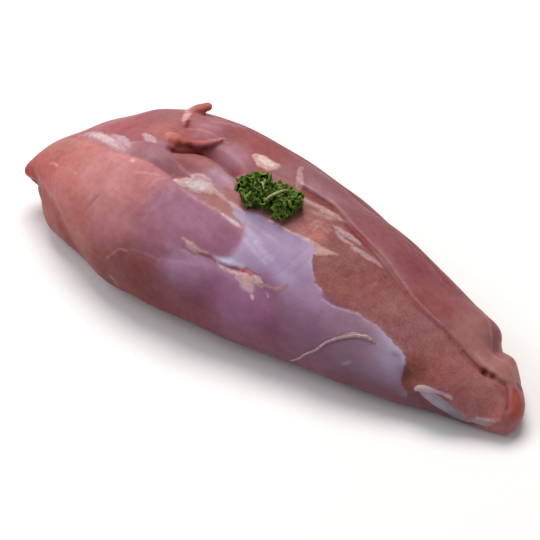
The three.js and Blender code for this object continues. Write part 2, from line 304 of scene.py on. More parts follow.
def smooth_point(share, angle):
    """Points of the smooth form, in mm."""
    x, front, back, top, crest, level, bottom = np.moveaxis(section_at(share), -1, 0)
    c = np.cos(np.radians(angle))
    s = np.sin(np.radians(angle))
    reach = np.where(c > 0, crest - front, back - crest)
    rise = np.where(s > 0, top - level, level - bottom)
    power = 2 / np.where(s > 0, TOP_FULLNESS, UNDER_FULLNESS)
    y = crest - np.sign(c) * reach * np.abs(c) ** power + SHIFT_Y
    z = level + np.sign(s) * rise * np.abs(s) ** power
    return np.stack([x + 0 * z, y, z], axis=-1)


def smooth_normal(share, angle):
    """The outward directions there, from short steps on the smooth form."""
    share_step = 0.004
    angle_step = 1.5
    along = (smooth_point(np.minimum(1, share + share_step), angle)
             - smooth_point(np.maximum(0, share - share_step), angle))
    around = smooth_point(share, angle + angle_step) - smooth_point(share, angle - angle_step)
    outward = np.cross(along, around)
    return outward / np.linalg.norm(outward, axis=-1, keepdims=True)


def place_on_map(points):
    """The share along the meat and the angle round it, for points in mm."""
    share = share_at(points[:, 0])
    _, front, back, top, crest, level, bottom = section_at(share).T
    dy = points[:, 1] - SHIFT_Y - crest
    dz = points[:, 2] - level
    reach = np.maximum(np.where(dy < 0, crest - front, back - crest), 1)
    rise = np.maximum(np.where(dz > 0, top - level, level - bottom), 1)
    half_power = np.where(dz > 0, TOP_FULLNESS, UNDER_FULLNESS) / 2
    c = -np.sign(dy) * (np.abs(dy) / reach) ** half_power
    s = np.sign(dz) * (np.abs(dz) / rise) ** half_power
    angle = np.degrees(np.arctan2(s, c))
    return share, np.where(angle < -90, angle + 360, angle)


trial = smooth_point(share_at(np.array([-100.0, 50.0])), np.array([40.0, 120.0]))
print("there and back:", [np.round(v, 2) for v in place_on_map(trial)])

# %% [markdown]
# ## Paths on the meat
#
# A seam or the edge of the film is a short list of map places, with a smooth curve through
# them. The distance from a path, in real millimetres, says how deep a seam is or how wide a
# streak of fat. A stroke is a path with a half width at each place, like one of a brush.

# %% Paths and strokes
STEPS_PER_PLACE = 5
FAR = 60.0  # no mark reaches further than this, in mm


def path_on_meat(places):
    """The points of a path on the smooth form, and the places' further numbers along it."""
    rows = np.array(places, float)
    curve = curve_through(np.arange(len(rows)), rows)
    steps = (len(rows) - 1) * STEPS_PER_PLACE
    along = curve(np.linspace(0, len(rows) - 1, steps + 1))
    return smooth_point(share_at(along[:, 0]), along[:, 1]), along[:, 2:]


def inside_stroke(points, places):
    """How far inside a stroke each point lies, in mm: its edge is 0 and outside is negative."""
    rows = [place if len(place) > 2 else [*place, 0] for place in places]
    path, widths = path_on_meat(rows)
    widths = widths[:, 0]
    deep = np.full(len(points), -FAR)
    near = np.all((points > path.min(0) - FAR) & (points < path.max(0) + FAR), axis=1)
    p = points[near]
    best = deep[near]
    for a, b, wide_a, wide_b in zip(path, path[1:], widths, widths[1:]):
        step = b - a
        t = np.clip((p - a) @ step / max(step @ step, 1e-9), 0, 1)
        away = np.linalg.norm(p - a - t[:, None] * step, axis=1)
        best = np.maximum(best, wide_a + (wide_b - wide_a) * t - away)
    deep[near] = best
    return deep


def away_from(points, places):
    """How far each point is from a path, in mm, up to FAR."""
    return -inside_stroke(points, places)


def behind_path(points, places):
    """How far points lie from a path that runs towards the tip, in mm, positive behind it."""
    path, _ = path_on_meat(places)
    nearest = np.full(len(points), np.inf)
    side = np.zeros(len(points))
    outward = (points - [0, SHIFT_Y, 30]) * [0, 1, 1]
    for a, b in zip(path, path[1:]):
        step = b - a
        away = points - a
        t = np.clip(away @ step / max(step @ step, 1e-9), 0, 1)
        distance = np.linalg.norm(away - t[:, None] * step, axis=1)
        closer = distance < nearest
        nearest[closer] = distance[closer]
        side[closer] = np.sign(np.sum(np.cross(step, away[closer]) * outward[closer], axis=1))
    return nearest * side


def inside_outline(share, angle, points, places):
    """How far inside a closed outline on the map each point lies, in mm."""
    x = section_at(share)[:, 0]
    closed = [*places, places[0]]
    inside = np.zeros(len(points), bool)
    for (x0, a0), (x1, a1) in zip(closed, closed[1:]):
        between = (a0 > angle) != (a1 > angle)
        with np.errstate(divide="ignore", invalid="ignore"):
            crossing = x0 + (angle - a0) * (x1 - x0) / (a1 - a0)
        inside ^= between & (x < crossing)
    away = away_from(points, closed)
    return np.where(inside, away, -away)


def bell(value):
    """1 at 0, with a soft fall to both sides."""
    return np.exp(-np.square(value))


def ramp(value, low, high):
    """0 below low, 1 above high, and a soft rise between them."""
    t = np.clip((value - low) / (high - low), 0, 1)
    return t * t * (3 - 2 * t)


print("a bell falls to", round(float(bell(1)), 2), "at its own width")

# %% [markdown]
# ## The relief of the muscles
#
# Muscles part from each other in seams, and each one swells a little between them. The relief
# is a height over the smooth form: every seam takes some away, every swelling adds some, and a
# step raises or sinks all that lies behind a line, as where one muscle lies over the next. The
# solid has the same forms, a little softer.

# %% Seams, swellings and steps
NOSE_SEAM = [[-176, 97], [-154, 81], [-134, 74], [-116, 71]]
BACK_SEAM = [[15, 97.8], [24, 98.4], [32, 99], [40, 97.4], [49, 95], [57, 93.4], [66, 91.4],
             [77, 89.8], [88, 87.8], [101, 85.2], [114, 81.6], [127, 79.8], [138, 79.4],
             [147, 78.2], [155, 77]]
ROUND_THE_TIP = [[164, 74.6], [172, 74], [180, 78], [186, 82], [190, 87], [194, 97],
                 [197, 111], [199, 129]]


def shifted(path, by):
    """The same path, so many degrees further round the meat."""
    return [[x, round(angle + by, 1)] for x, angle in path]


PARTING_LINE = [[-207, 92], *NOSE_SEAM, [-91, 71], [-68, 74], [-50, 84], [-30, 93], [-12, 99],
                [0, 98.4], *shifted(BACK_SEAM + ROUND_THE_TIP, 1)]
FLAP_LIP = [[-99, 93], [-95, 89], [-90, 86], [-85, 84.8], [-80, 84.8], [-74, 86], [-68.5, 88],
            [-64, 90.4], [-61.5, 93.4], [-60, 97], [-58, 102]]
LOBE_EDGE = [[-79, 79.4], [-74, 80.8], [-69, 82.2], [-64, 83.4], [-57, 85], [-48, 84.8],
             [-40, 83.4], [-33, 82.4]]
GROOVES = {
    # name: half width, depth, path
    "nose muscle seam": (4, 1.7, [*NOSE_SEAM, [-91, 71], [-72, 69]]),
    "fold under the nose": (6.5, 2.2, [[-188, 22], [-172, 17], [-154, 12], [-143, 1], [-136, -8]]),
    "front muscle seam": (6, 1.5, [[-72, 20], [-45, 26], [-26, 35], [-10, 39], [13, 40], [35, 31],
        [46, 21]]),
    "back muscle seam": (1.8, 0.7, [[4, 97.6], *BACK_SEAM[::2]]),
    "gap under the back muscle": (3, 1.2, [[6, 95.4], [14, 96.4], [24, 97], [33, 98]]),
    "gap at the slim end": (3, 1.8, [[160, 75], [172, 74], [182, 79], [190, 87], [194, 84],
        [197, 74], [199.4, 58]]),
    "pocket under the flap": (2.2, 6, [[-80.6, 81.8], [-75, 82.6], [-70, 84], [-65, 86.2]]),
    "notch over the slim end": (7.5, 7, [[174, 112], [175, 128], [174, 150], [173, 172]]),
    "notch under the nose tip": (5, 3, [[-200, -2], [-194, 4], [-188, 6], [-182, 6]]),
}
LUMPS = {
    # name: place, reach along, reach around, height
    "muscle in front of the pocket": ([-58, 80], 23, 9, 3.5),
    "nose muscle": ([-182, 46], 20, 20, 2.5),
    "under the nose": ([-203, -40], 8, 12, -7),
    "below the nose": ([-187, -12], 10, 12, -3),
    "left corner": ([-166, -14], 12, 14, 1.5),
    "front muscle": ([-30, 8], 55, 16, 1.5),
    "flat muscle": ([20, 60], 45, 20, 1.5),
    "muscle behind the flap": ([-124, 116], 14, 16, 2.5),
    "hollow at the tendon": ([138, 22], 8, 7, -4.5),
    "end of the back muscle": ([158, 126], 7, 12, 1),
    "behind the slim tip": ([193, 150], 10, 14, -3),
    "red nub at the tip": ([202, 80], 6, 10, 1.5),
    "tip of the nose": ([-205, 60], 6, 9, 4.5),
    "dip behind the flap": ([-28, 101], 20, 9, -1.5),
    "outline of the back": ([30, 130], 34, 18, -2.5),
    "outline near the tip": ([130, 128], 24, 16, -3),
}
STEPS = {
    # name: height, where it rises, where it falls back, where it begins and ends in x, path
    "flap": (4.2, (-0.8, 2.4), (4, 26), (-94, -82, -72, -52), FLAP_LIP),
    "hollow behind the lobe": (-7.5, (-0.4, 2.8), (4.5, 15), (-70, -59, -38, -28), LOBE_EDGE),
    "back muscle": (1.2, (-0.4, 1.1), (4, 58), (-12, 10, 188, 200), PARTING_LINE),
}
UNEVENNESS = 0.8


def muscle_relief(points):
    """The height of the real surface over points of the smooth form, in mm."""
    x, y, z = points.T
    height = np.zeros(len(points))
    for width, depth, path in GROOVES.values():
        height -= depth * bell(away_from(points, path) / width)
    for place, along, around, rise in LUMPS.values():
        dx, dy, dz = (points - path_on_meat([place, place])[0][0]).T
        height += rise * bell(dx / along) * bell(np.hypot(dy, dz) / around)
    for step, rising, falling, (start, full, fading, end), path in STEPS.values():
        behind = behind_path(points, path)
        height += (step * ramp(behind, *rising) * (1 - ramp(behind, *falling))
                   * ramp(x, start, full) * (1 - ramp(x, fading, end)))
    # Slow waves that cross each other, because no muscle is quite even
    waves = (np.sin(x * 0.061 + 0.7) * np.sin((y - SHIFT_Y) * 0.083 + z * 0.057)
             + 0.6 * np.sin(x * 0.127 + z * 0.093) * np.cos((y - SHIFT_Y) * 0.109 + 1.3))
    return height + UNEVENNESS * waves


print(len(GROOVES), "seams,", len(LUMPS), "swellings and", len(STEPS), "steps")

# %% [markdown]
# ## The body of the meat
#
# The body is a loft: rings of points, one behind the other, joined by four-sided faces. Each
# ring goes over the top from the front contact line to the back one, and then straight back
# along the underside, because soft meat lies flat on what carries it.

# %% A fine loft over the map
RINGS = 330
STEPS_OVER = 236
STEPS_UNDER = 24
CLOSER_AT_THE_ENDS = 0.35  # 0 spaces the rings evenly, 1 crowds them most
CLOSER_AT_THE_SEAM = 1.1  # 1 spaces the steps over the top evenly
LOWEST_CONTACT = 80.0  # degrees below the widest level, at most
FLOOR_MARGIN = 10.0  # the relief fades out over this height, in mm


def loft(rings, first, last):
    """Points and faces of a closed skin over rings of points, with a point at each end."""
    count, around = rings.shape[:2]
    points = np.concatenate([[first], rings.reshape(-1, 3), [last]])
    j = np.arange(around)
    after = (j + 1) % around
    faces = []
    for ring in range(count - 1):
        here = 1 + ring * around
        there = here + around
        faces += np.stack([here + j, there + j, there + after, here + after], 1).tolist()
    end = 1 + (count - 1) * around
    faces += np.stack([0 * j, 1 + j, 1 + after], 1).tolist()
    faces += np.stack([0 * j + len(points) - 1, end + after, end + j], 1).tolist()
    return points, faces


def body_of_meat():
    """The loft of the whole meat with the relief of its muscles, flat underneath."""
    even = np.arange(1, RINGS) / RINGS
    share = even + CLOSER_AT_THE_ENDS * ((1 - np.cos(np.pi * even)) / 2 - even)
    row = section_at(share)
    level, bottom = row[:, LEVEL], row[:, BOTTOM]
    pressed = np.clip(level / (level - bottom), 0, 1) ** (UNDER_FULLNESS / 2)
    contact = np.minimum(LOWEST_CONTACT, np.degrees(np.arcsin(pressed)))
    side = np.linspace(-1, 1, STEPS_OVER + 1)
    ends = np.where(side < 0, -contact[:, None], 180 + contact[:, None])
    parting = np.interp(row[:, 0], *np.transpose(PARTING_LINE))[:, None]
    angle = parting + (ends - parting) * np.abs(side) ** CLOSER_AT_THE_SEAM
    shares = np.repeat(share[:, None], len(side), 1)
    base = smooth_point(shares, angle)
    height = muscle_relief(base.reshape(-1, 3)).reshape(angle.shape)
    height *= ramp(base[..., 2], 0, FLOOR_MARGIN)
    over = base + smooth_normal(shares, angle) * height[..., None]
    over[:, [0, -1], 2] = base[:, [0, -1], 2]
    over[..., 2] = np.maximum(over[..., 2], 0)
    back_to_front = np.linspace(0, 1, STEPS_UNDER + 1)[1:-1, None]
    under = over[:, None, -1] * (1 - back_to_front) + over[:, None, 0] * back_to_front
    under_angle = (180 + contact[:, None]) + (180 - 2 * contact[:, None]) * back_to_front[:, 0]
    under_share = np.repeat(share[:, None], under.shape[1], 1)
    under[..., 2] = np.maximum(0, smooth_point(under_share, under_angle)[..., 2])
    rings = np.concatenate([over, under], 1)
    return loft(rings, rings[0].mean(0), rings[-1].mean(0))


body = body_of_meat()
print("body:", len(body[0]), "points")

# %% [markdown]
# ## Lip, tag and tendon
#
# Behind the nose muscle a layer of meat was lifted and fell back over a pocket. The step in
# the relief has raised it. Its free lip hangs over the pocket, thick at the left and thin at
# the right, and a torn tag stands up behind it. Near the tip the stump of a tendon lies along
# the edge, with a rim of membrane. A height can't overhang or stand free, so these four are
# round bars of their own, laid over the map.

# %% Lip, tag and tendon
BARS = {
    # name: rows of x, angle, lift, radius
    "lip": [[-96, 90.4, -2.8, 1.8], [-92.6, 88.4, -1.8, 3.6], [-89, 87.2, -0.8, 4.6],
        [-85, 86.8, -0.1, 4.6], [-80, 86.6, 0.9, 4], [-74.4, 87, 1.5, 3.4], [-68.6, 88.4, 2, 2.8],
        [-64.2, 90.2, 2.3, 2.2], [-61.6, 92.6, 2.4, 1.5], [-60.2, 95.4, 2, 1],
        [-59, 100, 0.4, 0.7]],
    "tag": [[-105, 112, -4, 2.4], [-100, 114, 0, 3.2], [-96, 116, 3, 3.5], [-92, 117.5, 5, 3.4],
        [-88.6, 118.8, 6.8, 3], [-87, 119.4, 7.6, 1.6]],
    "tendon": [[144, 12, -2.6, 1.6], [149, 11.4, -3.2, 4.2], [156, 8.6, -3.6, 5.8],
        [164, 3, -3.8, 6.4], [172, -3, -3.4, 5.6], [179, -7.4, -2.6, 4], [186, -8, -2, 2.4],
        [192, -5, -2.2, 1.2]],
    "rim": [[142.6, 8, -0.8, 0.7], [144, 12.6, -0.5, 1], [147, 16.4, -0.3, 1.3],
        [151, 18.4, -0.3, 1.6], [156, 19.6, -0.3, 1.6], [161, 20.2, -0.3, 1.8],
        [165.6, 19.4, -0.3, 2], [169, 17, -1, 1.2]],
}


def lifted(share, angle, lift):
    """Points so many mm over the smooth form."""
    lift = np.asarray(lift, float)
    return smooth_point(share, angle) + smooth_normal(share, angle) * lift[..., None]


def round_bar(middles, radii, facets=14):
    """A round bar along a row of points, pointed at both ends."""
    rings = []
    for i in range(1, len(middles) - 1):
        ahead = middles[i + 1] - middles[i - 1]
        ahead = ahead / np.linalg.norm(ahead)
        aside = np.cross([0, 0, 1], ahead)
        aside = aside / np.linalg.norm(aside)
        up = np.cross(ahead, aside)
        turn = -2 * np.pi * np.arange(facets)[:, None] / facets
        rings.append(middles[i] + radii[i] * (np.cos(turn) * aside + np.sin(turn) * up))
    return loft(np.array(rings), middles[0], middles[-1])


def bar_over_map(rows, steps=28):
    """A round bar through rows of x, angle, lift and radius."""
    x, angle, lift, radius = curve_through(np.arange(len(rows)), rows)(
        np.linspace(0, len(rows) - 1, steps)).T
    return round_bar(lifted(share_at(x), angle, lift), radius)


bars = {name: bar_over_map(rows) for name, rows in BARS.items()}
print("bars:", {name: len(bar[0]) for name, bar in bars.items()}, "points")

# %% [markdown]
# ## One skin over all of it
#
# A real lip grows out of the meat without a joint. The Remesh modifier does the same: it
# fills the lofts with small cubes, keeps the outside of them all together, and lays one even
# skin of four-sided faces over it. A boolean union would be exact but leave sharp joints.
# Afterwards a few rounds of relaxing take the stair steps of the cubes away.

# %% Fuse with the Remesh modifier, then relax
SKIN_CUBE = 1.12 * MM


def mesh_from(name, points, faces):
    """A mesh of points in mm."""
    mesh = bpy.data.meshes.new(name)
    mesh.from_pydata((np.asarray(points) * MM).tolist(), [], faces)
    mesh.update()
    return mesh


def joined(parts):
    """Several lots of points and faces as one."""
    all_points = np.concatenate([points for points, _ in parts])
    all_faces = []
    start = 0
    for points, faces in parts:
        all_faces += [[corner + start for corner in face] for face in faces]
        start += len(points)
    return all_points, all_faces


def with_modifiers(holder):
    """A new mesh of what an object's modifiers make of it."""
    bpy.context.scene.collection.objects.link(holder)
    depsgraph = bpy.context.evaluated_depsgraph_get()
    made = bpy.data.meshes.new_from_object(holder.evaluated_get(depsgraph))
    bpy.data.objects.remove(holder)
    return made


def fused(parts):
    """One skin over several lofts."""
    holder = bpy.data.objects.new("lofts", mesh_from("lofts", *joined(parts)))
    remesh = holder.modifiers.new("one_skin", "REMESH")
    remesh.mode = "VOXEL"
    remesh.voxel_size = SKIN_CUBE
    return with_modifiers(holder)


def vectors_of(mesh, what):
    """One vector for each point of a mesh: its place, "co", or its "normal"."""
    flat = np.empty(len(mesh.vertices) * 3, np.float32)
    mesh.vertices.foreach_get(what, flat)
    return flat.reshape(-1, 3).astype(float)


def move_points(mesh, points):
    """Moves a mesh's points to new places in mm."""
    mesh.vertices.foreach_set("co", (points * MM).astype(np.float32).ravel())
    mesh.update()


PULLS = (0.55, -0.5)  # towards the neighbours, then back out


def relaxed(points, edges, rounds):
    """Each point moves towards the middle of its neighbours, then back out a little, so that
    small steps go and the form stays."""
    ends = np.concatenate([edges, edges[:, ::-1]])
    neighbours = np.bincount(ends[:, 0], minlength=len(points))[:, None]
    for _ in range(rounds):
        for pull in PULLS:
            around = np.stack([np.bincount(ends[:, 0], points[ends[:, 1], k], len(points))
                               for k in range(3)], 1)
            points = points + pull * (around / neighbours - points)
    return points


skin = fused([body, *bars.values()])
skin_edges = np.empty(len(skin.edges) * 2, np.int32)
skin.edges.foreach_get("vertices", skin_edges)
skin_edges = skin_edges.reshape(-1, 2)
skin_points = relaxed(vectors_of(skin, "co") / MM, skin_edges, rounds=6)
print("skin:", len(skin.vertices), "points and", len(skin.polygons), "faces")

# %% [markdown]
# ## Where each point is
#
# Every point of the skin now looks for the nearest point of the lofts. On the body it moves
# there, so that the skin is as smooth as the loft. Then each point looks up its own place on
# the map, and knows how much it belongs to each of the bars.

# %% Places and parts
def nearest_on(points, part):
    """The nearest points on the skin of a loft, and how far away they are, in mm."""
    tree = BVHTree.FromPolygons(part[0].tolist(), part[1])
    found = [tree.find_nearest(p) for p in points.tolist()]
    return np.array([hit[0] for hit in found]), np.array([hit[3] for hit in found])


ROUND_A_BAR = 8.0  # how far along the meat a bar is looked for, in mm
CLEAR_OF_BARS = (1.5, 4)  # between these distances the skin goes back to the body's loft
BAR_EDGE = 0.7  # half the width of the soft edge of a bar's colours

on_loft, from_body = nearest_on(skin_points, body)
from_bar = {}
for name, bar in bars.items():
    x_of_bar = bar[0][:, 0]
    near = np.where((skin_points[:, 0] > x_of_bar.min() - ROUND_A_BAR)
                    & (skin_points[:, 0] < x_of_bar.max() + ROUND_A_BAR))[0]
    from_bar[name] = np.full(len(skin_points), FAR)
    from_bar[name][near] = nearest_on(skin_points[near], bar)[1]
clear = ramp(np.min(list(from_bar.values()), axis=0), *CLEAR_OF_BARS)[:, None]
skin_points = relaxed(skin_points + clear * (on_loft - skin_points), skin_edges, rounds=2)
skin_points[:, 2] = np.maximum(skin_points[:, 2], 0)
move_points(skin, skin_points)
share, angle = place_on_map(skin_points)
base = smooth_point(share, angle)
x_at = base[:, 0]
on_bar = {name: ramp(from_body - away, -BAR_EDGE, BAR_EDGE) for name, away in from_bar.items()}
on_body = 1 - np.max(list(on_bar.values()), axis=0)
print("points on the bars:", {name: int((on > 0.5).sum()) for name, on in on_bar.items()})

# %% [markdown]
# ## What shows on the meat
#
# The film, the fat and the bare spots are drawn on the map as outlines and strokes. Every one
# is a separate thing on the real meat: the silverskin was cut along its right edge by the
# knife that opened the flat muscle, and the fat sits where two muscles meet. At the front the
# film has no edge, it only thins out.

# %% Silverskin and bare meat
FILM = [
    [-22, 70], [-21, 67], [-15, 66], [-8, 64.5], [-4, 62], [-2, 56], [-2, 50], [-5, 44.5],
    [-14, 40.5], [-8, 38.5], [0, 39.5], [8, 42], [14, 44], [22, 43], [30, 40], [36, 34],
    [40, 24], [50, 10], [70, 0], [100, -6], [138, -4], [139, 5], [134, 10], [132, 20], [131, 31],
    [130, 40], [124, 44.5], [117, 48], [111, 51], [104, 53], [96, 53], [89, 53.5], [80, 50.5],
    [72, 49], [66, 50], [62, 54], [56, 56], [51, 61], [46, 66], [44, 71], [42, 74.6], [36, 75.2],
    [31, 74.8], [26, 74.4], [20, 73.6], [12, 73], [4, 73], [-3, 72.4], [-12, 70.6],
]
FILM_THINS_OUT = [[26, 41], [34, 37], [38, 28], [46, 14], [62, 3], [90, -4], [128, -6]]
THINNING = 17.0  # mm over which the film goes from nothing to full
FILM_SOFT_EDGE = [[-5, 63], [-2, 56], [-2, 50], [-5, 44.5], [-14, 40.5]]
SOFT_EDGE = 4.5
BARE = {
    # name: colour, strokes of x, angle and half width
    "meat over the film's ridge": ("#9a6260", [[[-44, 67, 1.2], [-37, 68, 3.6], [-29, 68, 4.4],
        [-22, 67, 3.6], [-16, 65.4, 1.2]]]),
    "meat behind the fat": ("#985c58", [[[-33, 75.4, 0.8], [-27, 75, 2.4], [-19, 73.8, 2.6],
        [-12, 72.6, 1.2]]]),
    "first gap of the back seam": ("#8a4f4a", [[[3, 96, 1.4], [9, 96.2, 3], [18, 96.8, 3.4],
        [27, 98, 2.6], [36, 98.6, 1]]]),
    "second gap of the back seam": ("#84423e", [[[44.5, 94.4, 0.8], [51.5, 93.8, 2.2],
        [58, 92.6, 2.9], [64.5, 91.2, 2.7], [70.5, 90.2, 1.9], [77, 89.6, 0.8]]]),
    "brown hollow": ("#76443a", [[[132.6, 29, 1.4], [134, 21, 2.6], [136, 12, 2.6], [139, 4, 2]]]),
    "red of the nub": ("#a04c40", [[[197, 96, 2], [200, 92, 4], [203, 86, 5.2], [204.4, 76, 5],
        [203.4, 62, 3]]]),
}
print(len(FILM), "corners round the film,", len(BARE), "bare places")

# %% [markdown]
# ## Fat and scraps of tissue
#
# Fat here isn't a layer but crumbs and strips, with the thin tissue that held them. A name says
# where each lies. The second number is how far it stands up.

# %% Fat and scraps
FAT = {
    # name: colour, height in mm, strokes of x, angle and half width
    "strip along the nose seam": ("#bf9aa2", 0.2, [[[-172, 96, 0.8], [-162, 91, 1.6],
        [-152, 85.6, 2.6], [-142, 81.6, 3.2], [-132, 78.4, 3.6], [-122, 75, 3],
        [-114, 72.8, 1.2]]]),
    "white of the strip": ("#cfb4b6", 0.3, [[[-158, 87.6, 0.8], [-150, 84, 1.8], [-141, 81, 2.6],
        [-133, 78.6, 2.8], [-126, 75.8, 1.6], [-120, 74, 0.8]]]),
    "lilac of the strip": ("#bfa3b0", 0.2, [[[-134, 83, 0.8], [-127, 81.6, 2.2], [-120, 79.4, 2.4],
        [-112, 75.8, 1.2]]]),
    "spot by the flap": ("#bd9ba2", 0.2, [[[-110, 85.6, 1], [-105.7, 84.3, 2.8],
        [-101.6, 83.4, 2.8], [-97, 82.2, 1]]]),
    "lump by the pocket": ("#c4a09f", 0.5, [[[-64, 67.4, 1], [-58, 68.6, 3], [-52, 70, 5],
        [-46, 71.2, 5.6], [-41, 71.8, 4], [-36, 71.6, 1.8]], [[-56, 73, 1.4], [-50, 74.8, 2.6],
        [-44, 75, 2]]]),
    "white of the lump": ("#c3b6ba", 0.3, [[[-56, 69, 1.4], [-52, 69.6, 3], [-47, 70.6, 3.4],
        [-43.6, 72, 2]]]),
    "end of the ridge": ("#b2959c", 0.2, [[[-22, 63.4, 0.6], [-16, 63, 1.1], [-11, 62.8, 1.4],
        [-5.4, 62.1, 0.8]]]),
    "tail of the lump": ("#b99494", 0.4, [[[-38, 71.8, 1.6], [-31, 71.4, 1.3], [-25, 70.8, 1.1],
        [-19, 70.2, 0.9], [-11, 69.8, 0.6]]]),
    "patch behind the parsley": ("#c6a09a", 0.7, [[[-35, 101, 2.4], [-31.6, 101, 5.2],
        [-27, 100.4, 6.6], [-22.4, 100.6, 5.6], [-19.4, 102, 3.4]], [[-27, 97, 4],
        [-22, 96.6, 3]]]),
    "white of the patch": ("#d4bdb4", 0.2, [[[-32, 101.6, 2.6], [-27, 100.6, 4.4],
        [-23, 101, 3.2]]]),
    "root of the tag": ("#cd9d98", 0.7, [[[-91.5, 97.5, 0.7], [-95.6, 102.5, 2],
        [-98.1, 108.6, 2.6], [-100.3, 115, 2.2]]]),
    "crumb on the front seam": ("#b48e8a", 0.6, [[[-37, 42, 0.5], [-33.4, 41.2, 1],
        [-30, 40.2, 2.4], [-26, 39.2, 2.6], [-22, 39.2, 1.6], [-17, 40.2, 0.7]]]),
    "veil under the cluster": ("#b598a6", 0.2, [[[8, 36, 0.8], [13, 34.6, 3], [18, 32.8, 3.4],
        [21, 30.6, 1.6]]]),
    "cluster on the front seam": ("#c29e9a", 0.7, [[[-8, 37.6, 0.6], [-2, 37.2, 1], [5, 37, 1.7],
        [11, 37.6, 2.5], [16, 38.4, 3.4], [21, 39, 3.2], [25, 38.4, 1.8]], [[12, 36.6, 2],
        [16, 33.6, 2], [19.6, 30.6, 1]]]),
    "red in the cluster": ("#b8686a", 0.6, [[[8, 40.4, 0.9], [12, 41.4, 1.6], [16, 41, 1.2]]]),
    "tail of the cluster": ("#a67c76", 0.6, [[[24, 38.6, 1.2], [29, 39.2, 1], [34, 40.2, 1.2],
        [39, 42.6, 1.4], [40.6, 46.6, 0.9]]]),
    "drop under the cluster": ("#ccb0ba", 0.5, [[[21, 30.2, 0.6], [22.4, 28.8, 1],
        [23.4, 27.6, 0.6]]]),
    "second drop": ("#ccb0ba", 0.5, [[[31.2, 34.5, 0.8], [31.8, 33, 0.8]]]),
    "upper edge of the film": ("#bfa2a6", 0.3, [[[6, 73.6, 0.5], [20.5, 73.9, 0.9],
        [26, 74.7, 1.1], [31.3, 75.1, 1.2], [37, 75.6, 1]]]),
    "cream corner of the film": ("#b68c86", 0.4, [[[36, 75.6, 1], [42, 75.2, 2.4],
        [46.6, 74.4, 3.4], [50.6, 75.6, 2.4], [56, 77.5, 0.6]], [[44.4, 71.4, 1.4],
        [47, 73.4, 2.2]]]),
    "fringe of the back muscle": ("#b08c8c", 0.3, [[[-6.4, 114, 0.8], [-5, 109.4, 1.5],
        [-1, 104, 2.2], [2, 100, 2.8], [4, 97.4, 2]]]),
    "first strip in the gap": ("#b8908f", 0.4, [[[9, 91.4, 0.8], [16, 91.6, 1.6],
        [23.5, 92.4, 2.2], [30, 93.6, 2.6], [36, 94.8, 2.4], [43.5, 95.6, 1]]]),
    "branch of the first strip": ("#a88484", 0.4, [[[23, 89, 0.6], [27, 89.6, 1.3],
        [33, 90.6, 1.4], [39, 92, 0.8]]]),
    "second strip in the gap": ("#ae8c94", 0.4, [[[41.5, 89, 1], [47, 89.2, 1.9], [51.6, 89.4, 2],
        [57.5, 89.6, 2], [62.8, 89.4, 1.2]]]),
    "branch of the second strip": ("#ad8a94", 0.5, [[[45, 87.4, 0.8], [51, 86.5, 1.4],
        [55.4, 86.5, 1.4], [59.6, 87, 1]]]),
    "third strip": ("#aa8688", 0.4, [[[60.6, 86.2, 1.2], [64.1, 86, 1.4], [67.2, 86.4, 2],
        [73.2, 86.4, 2], [78.7, 87, 1.3], [86, 87, 0.6]]]),
    "curl of membrane": ("#a87e7c", 0.3, [[[29.5, 83, 0.6], [29.4, 85.4, 0.9], [32.5, 87.2, 0.9],
        [38, 87.6, 0.9], [41.4, 86.6, 0.7]], [[33.4, 82.6, 0.4], [33.2, 84.8, 0.7],
        [37, 85.8, 0.7], [41.3, 85, 0.5]]]),
    "end of the tendon": ("#8f8189", 0.5, [[[181, -3, 1.2], [187, -5, 2], [193, -2, 1.3]]]),
    # Painted glints: pale strokes standing for the highlights at the tendon's end
    "glints at the tendon's end": ("#b39a98", 0.5, [[[184, 1.6, 0.8], [189, 2.4, 1.3], [192.5, 8, 1],
        [195, 12.5, 0.8]]]),
}
print(len(FAT), "bits of fat and tissue")
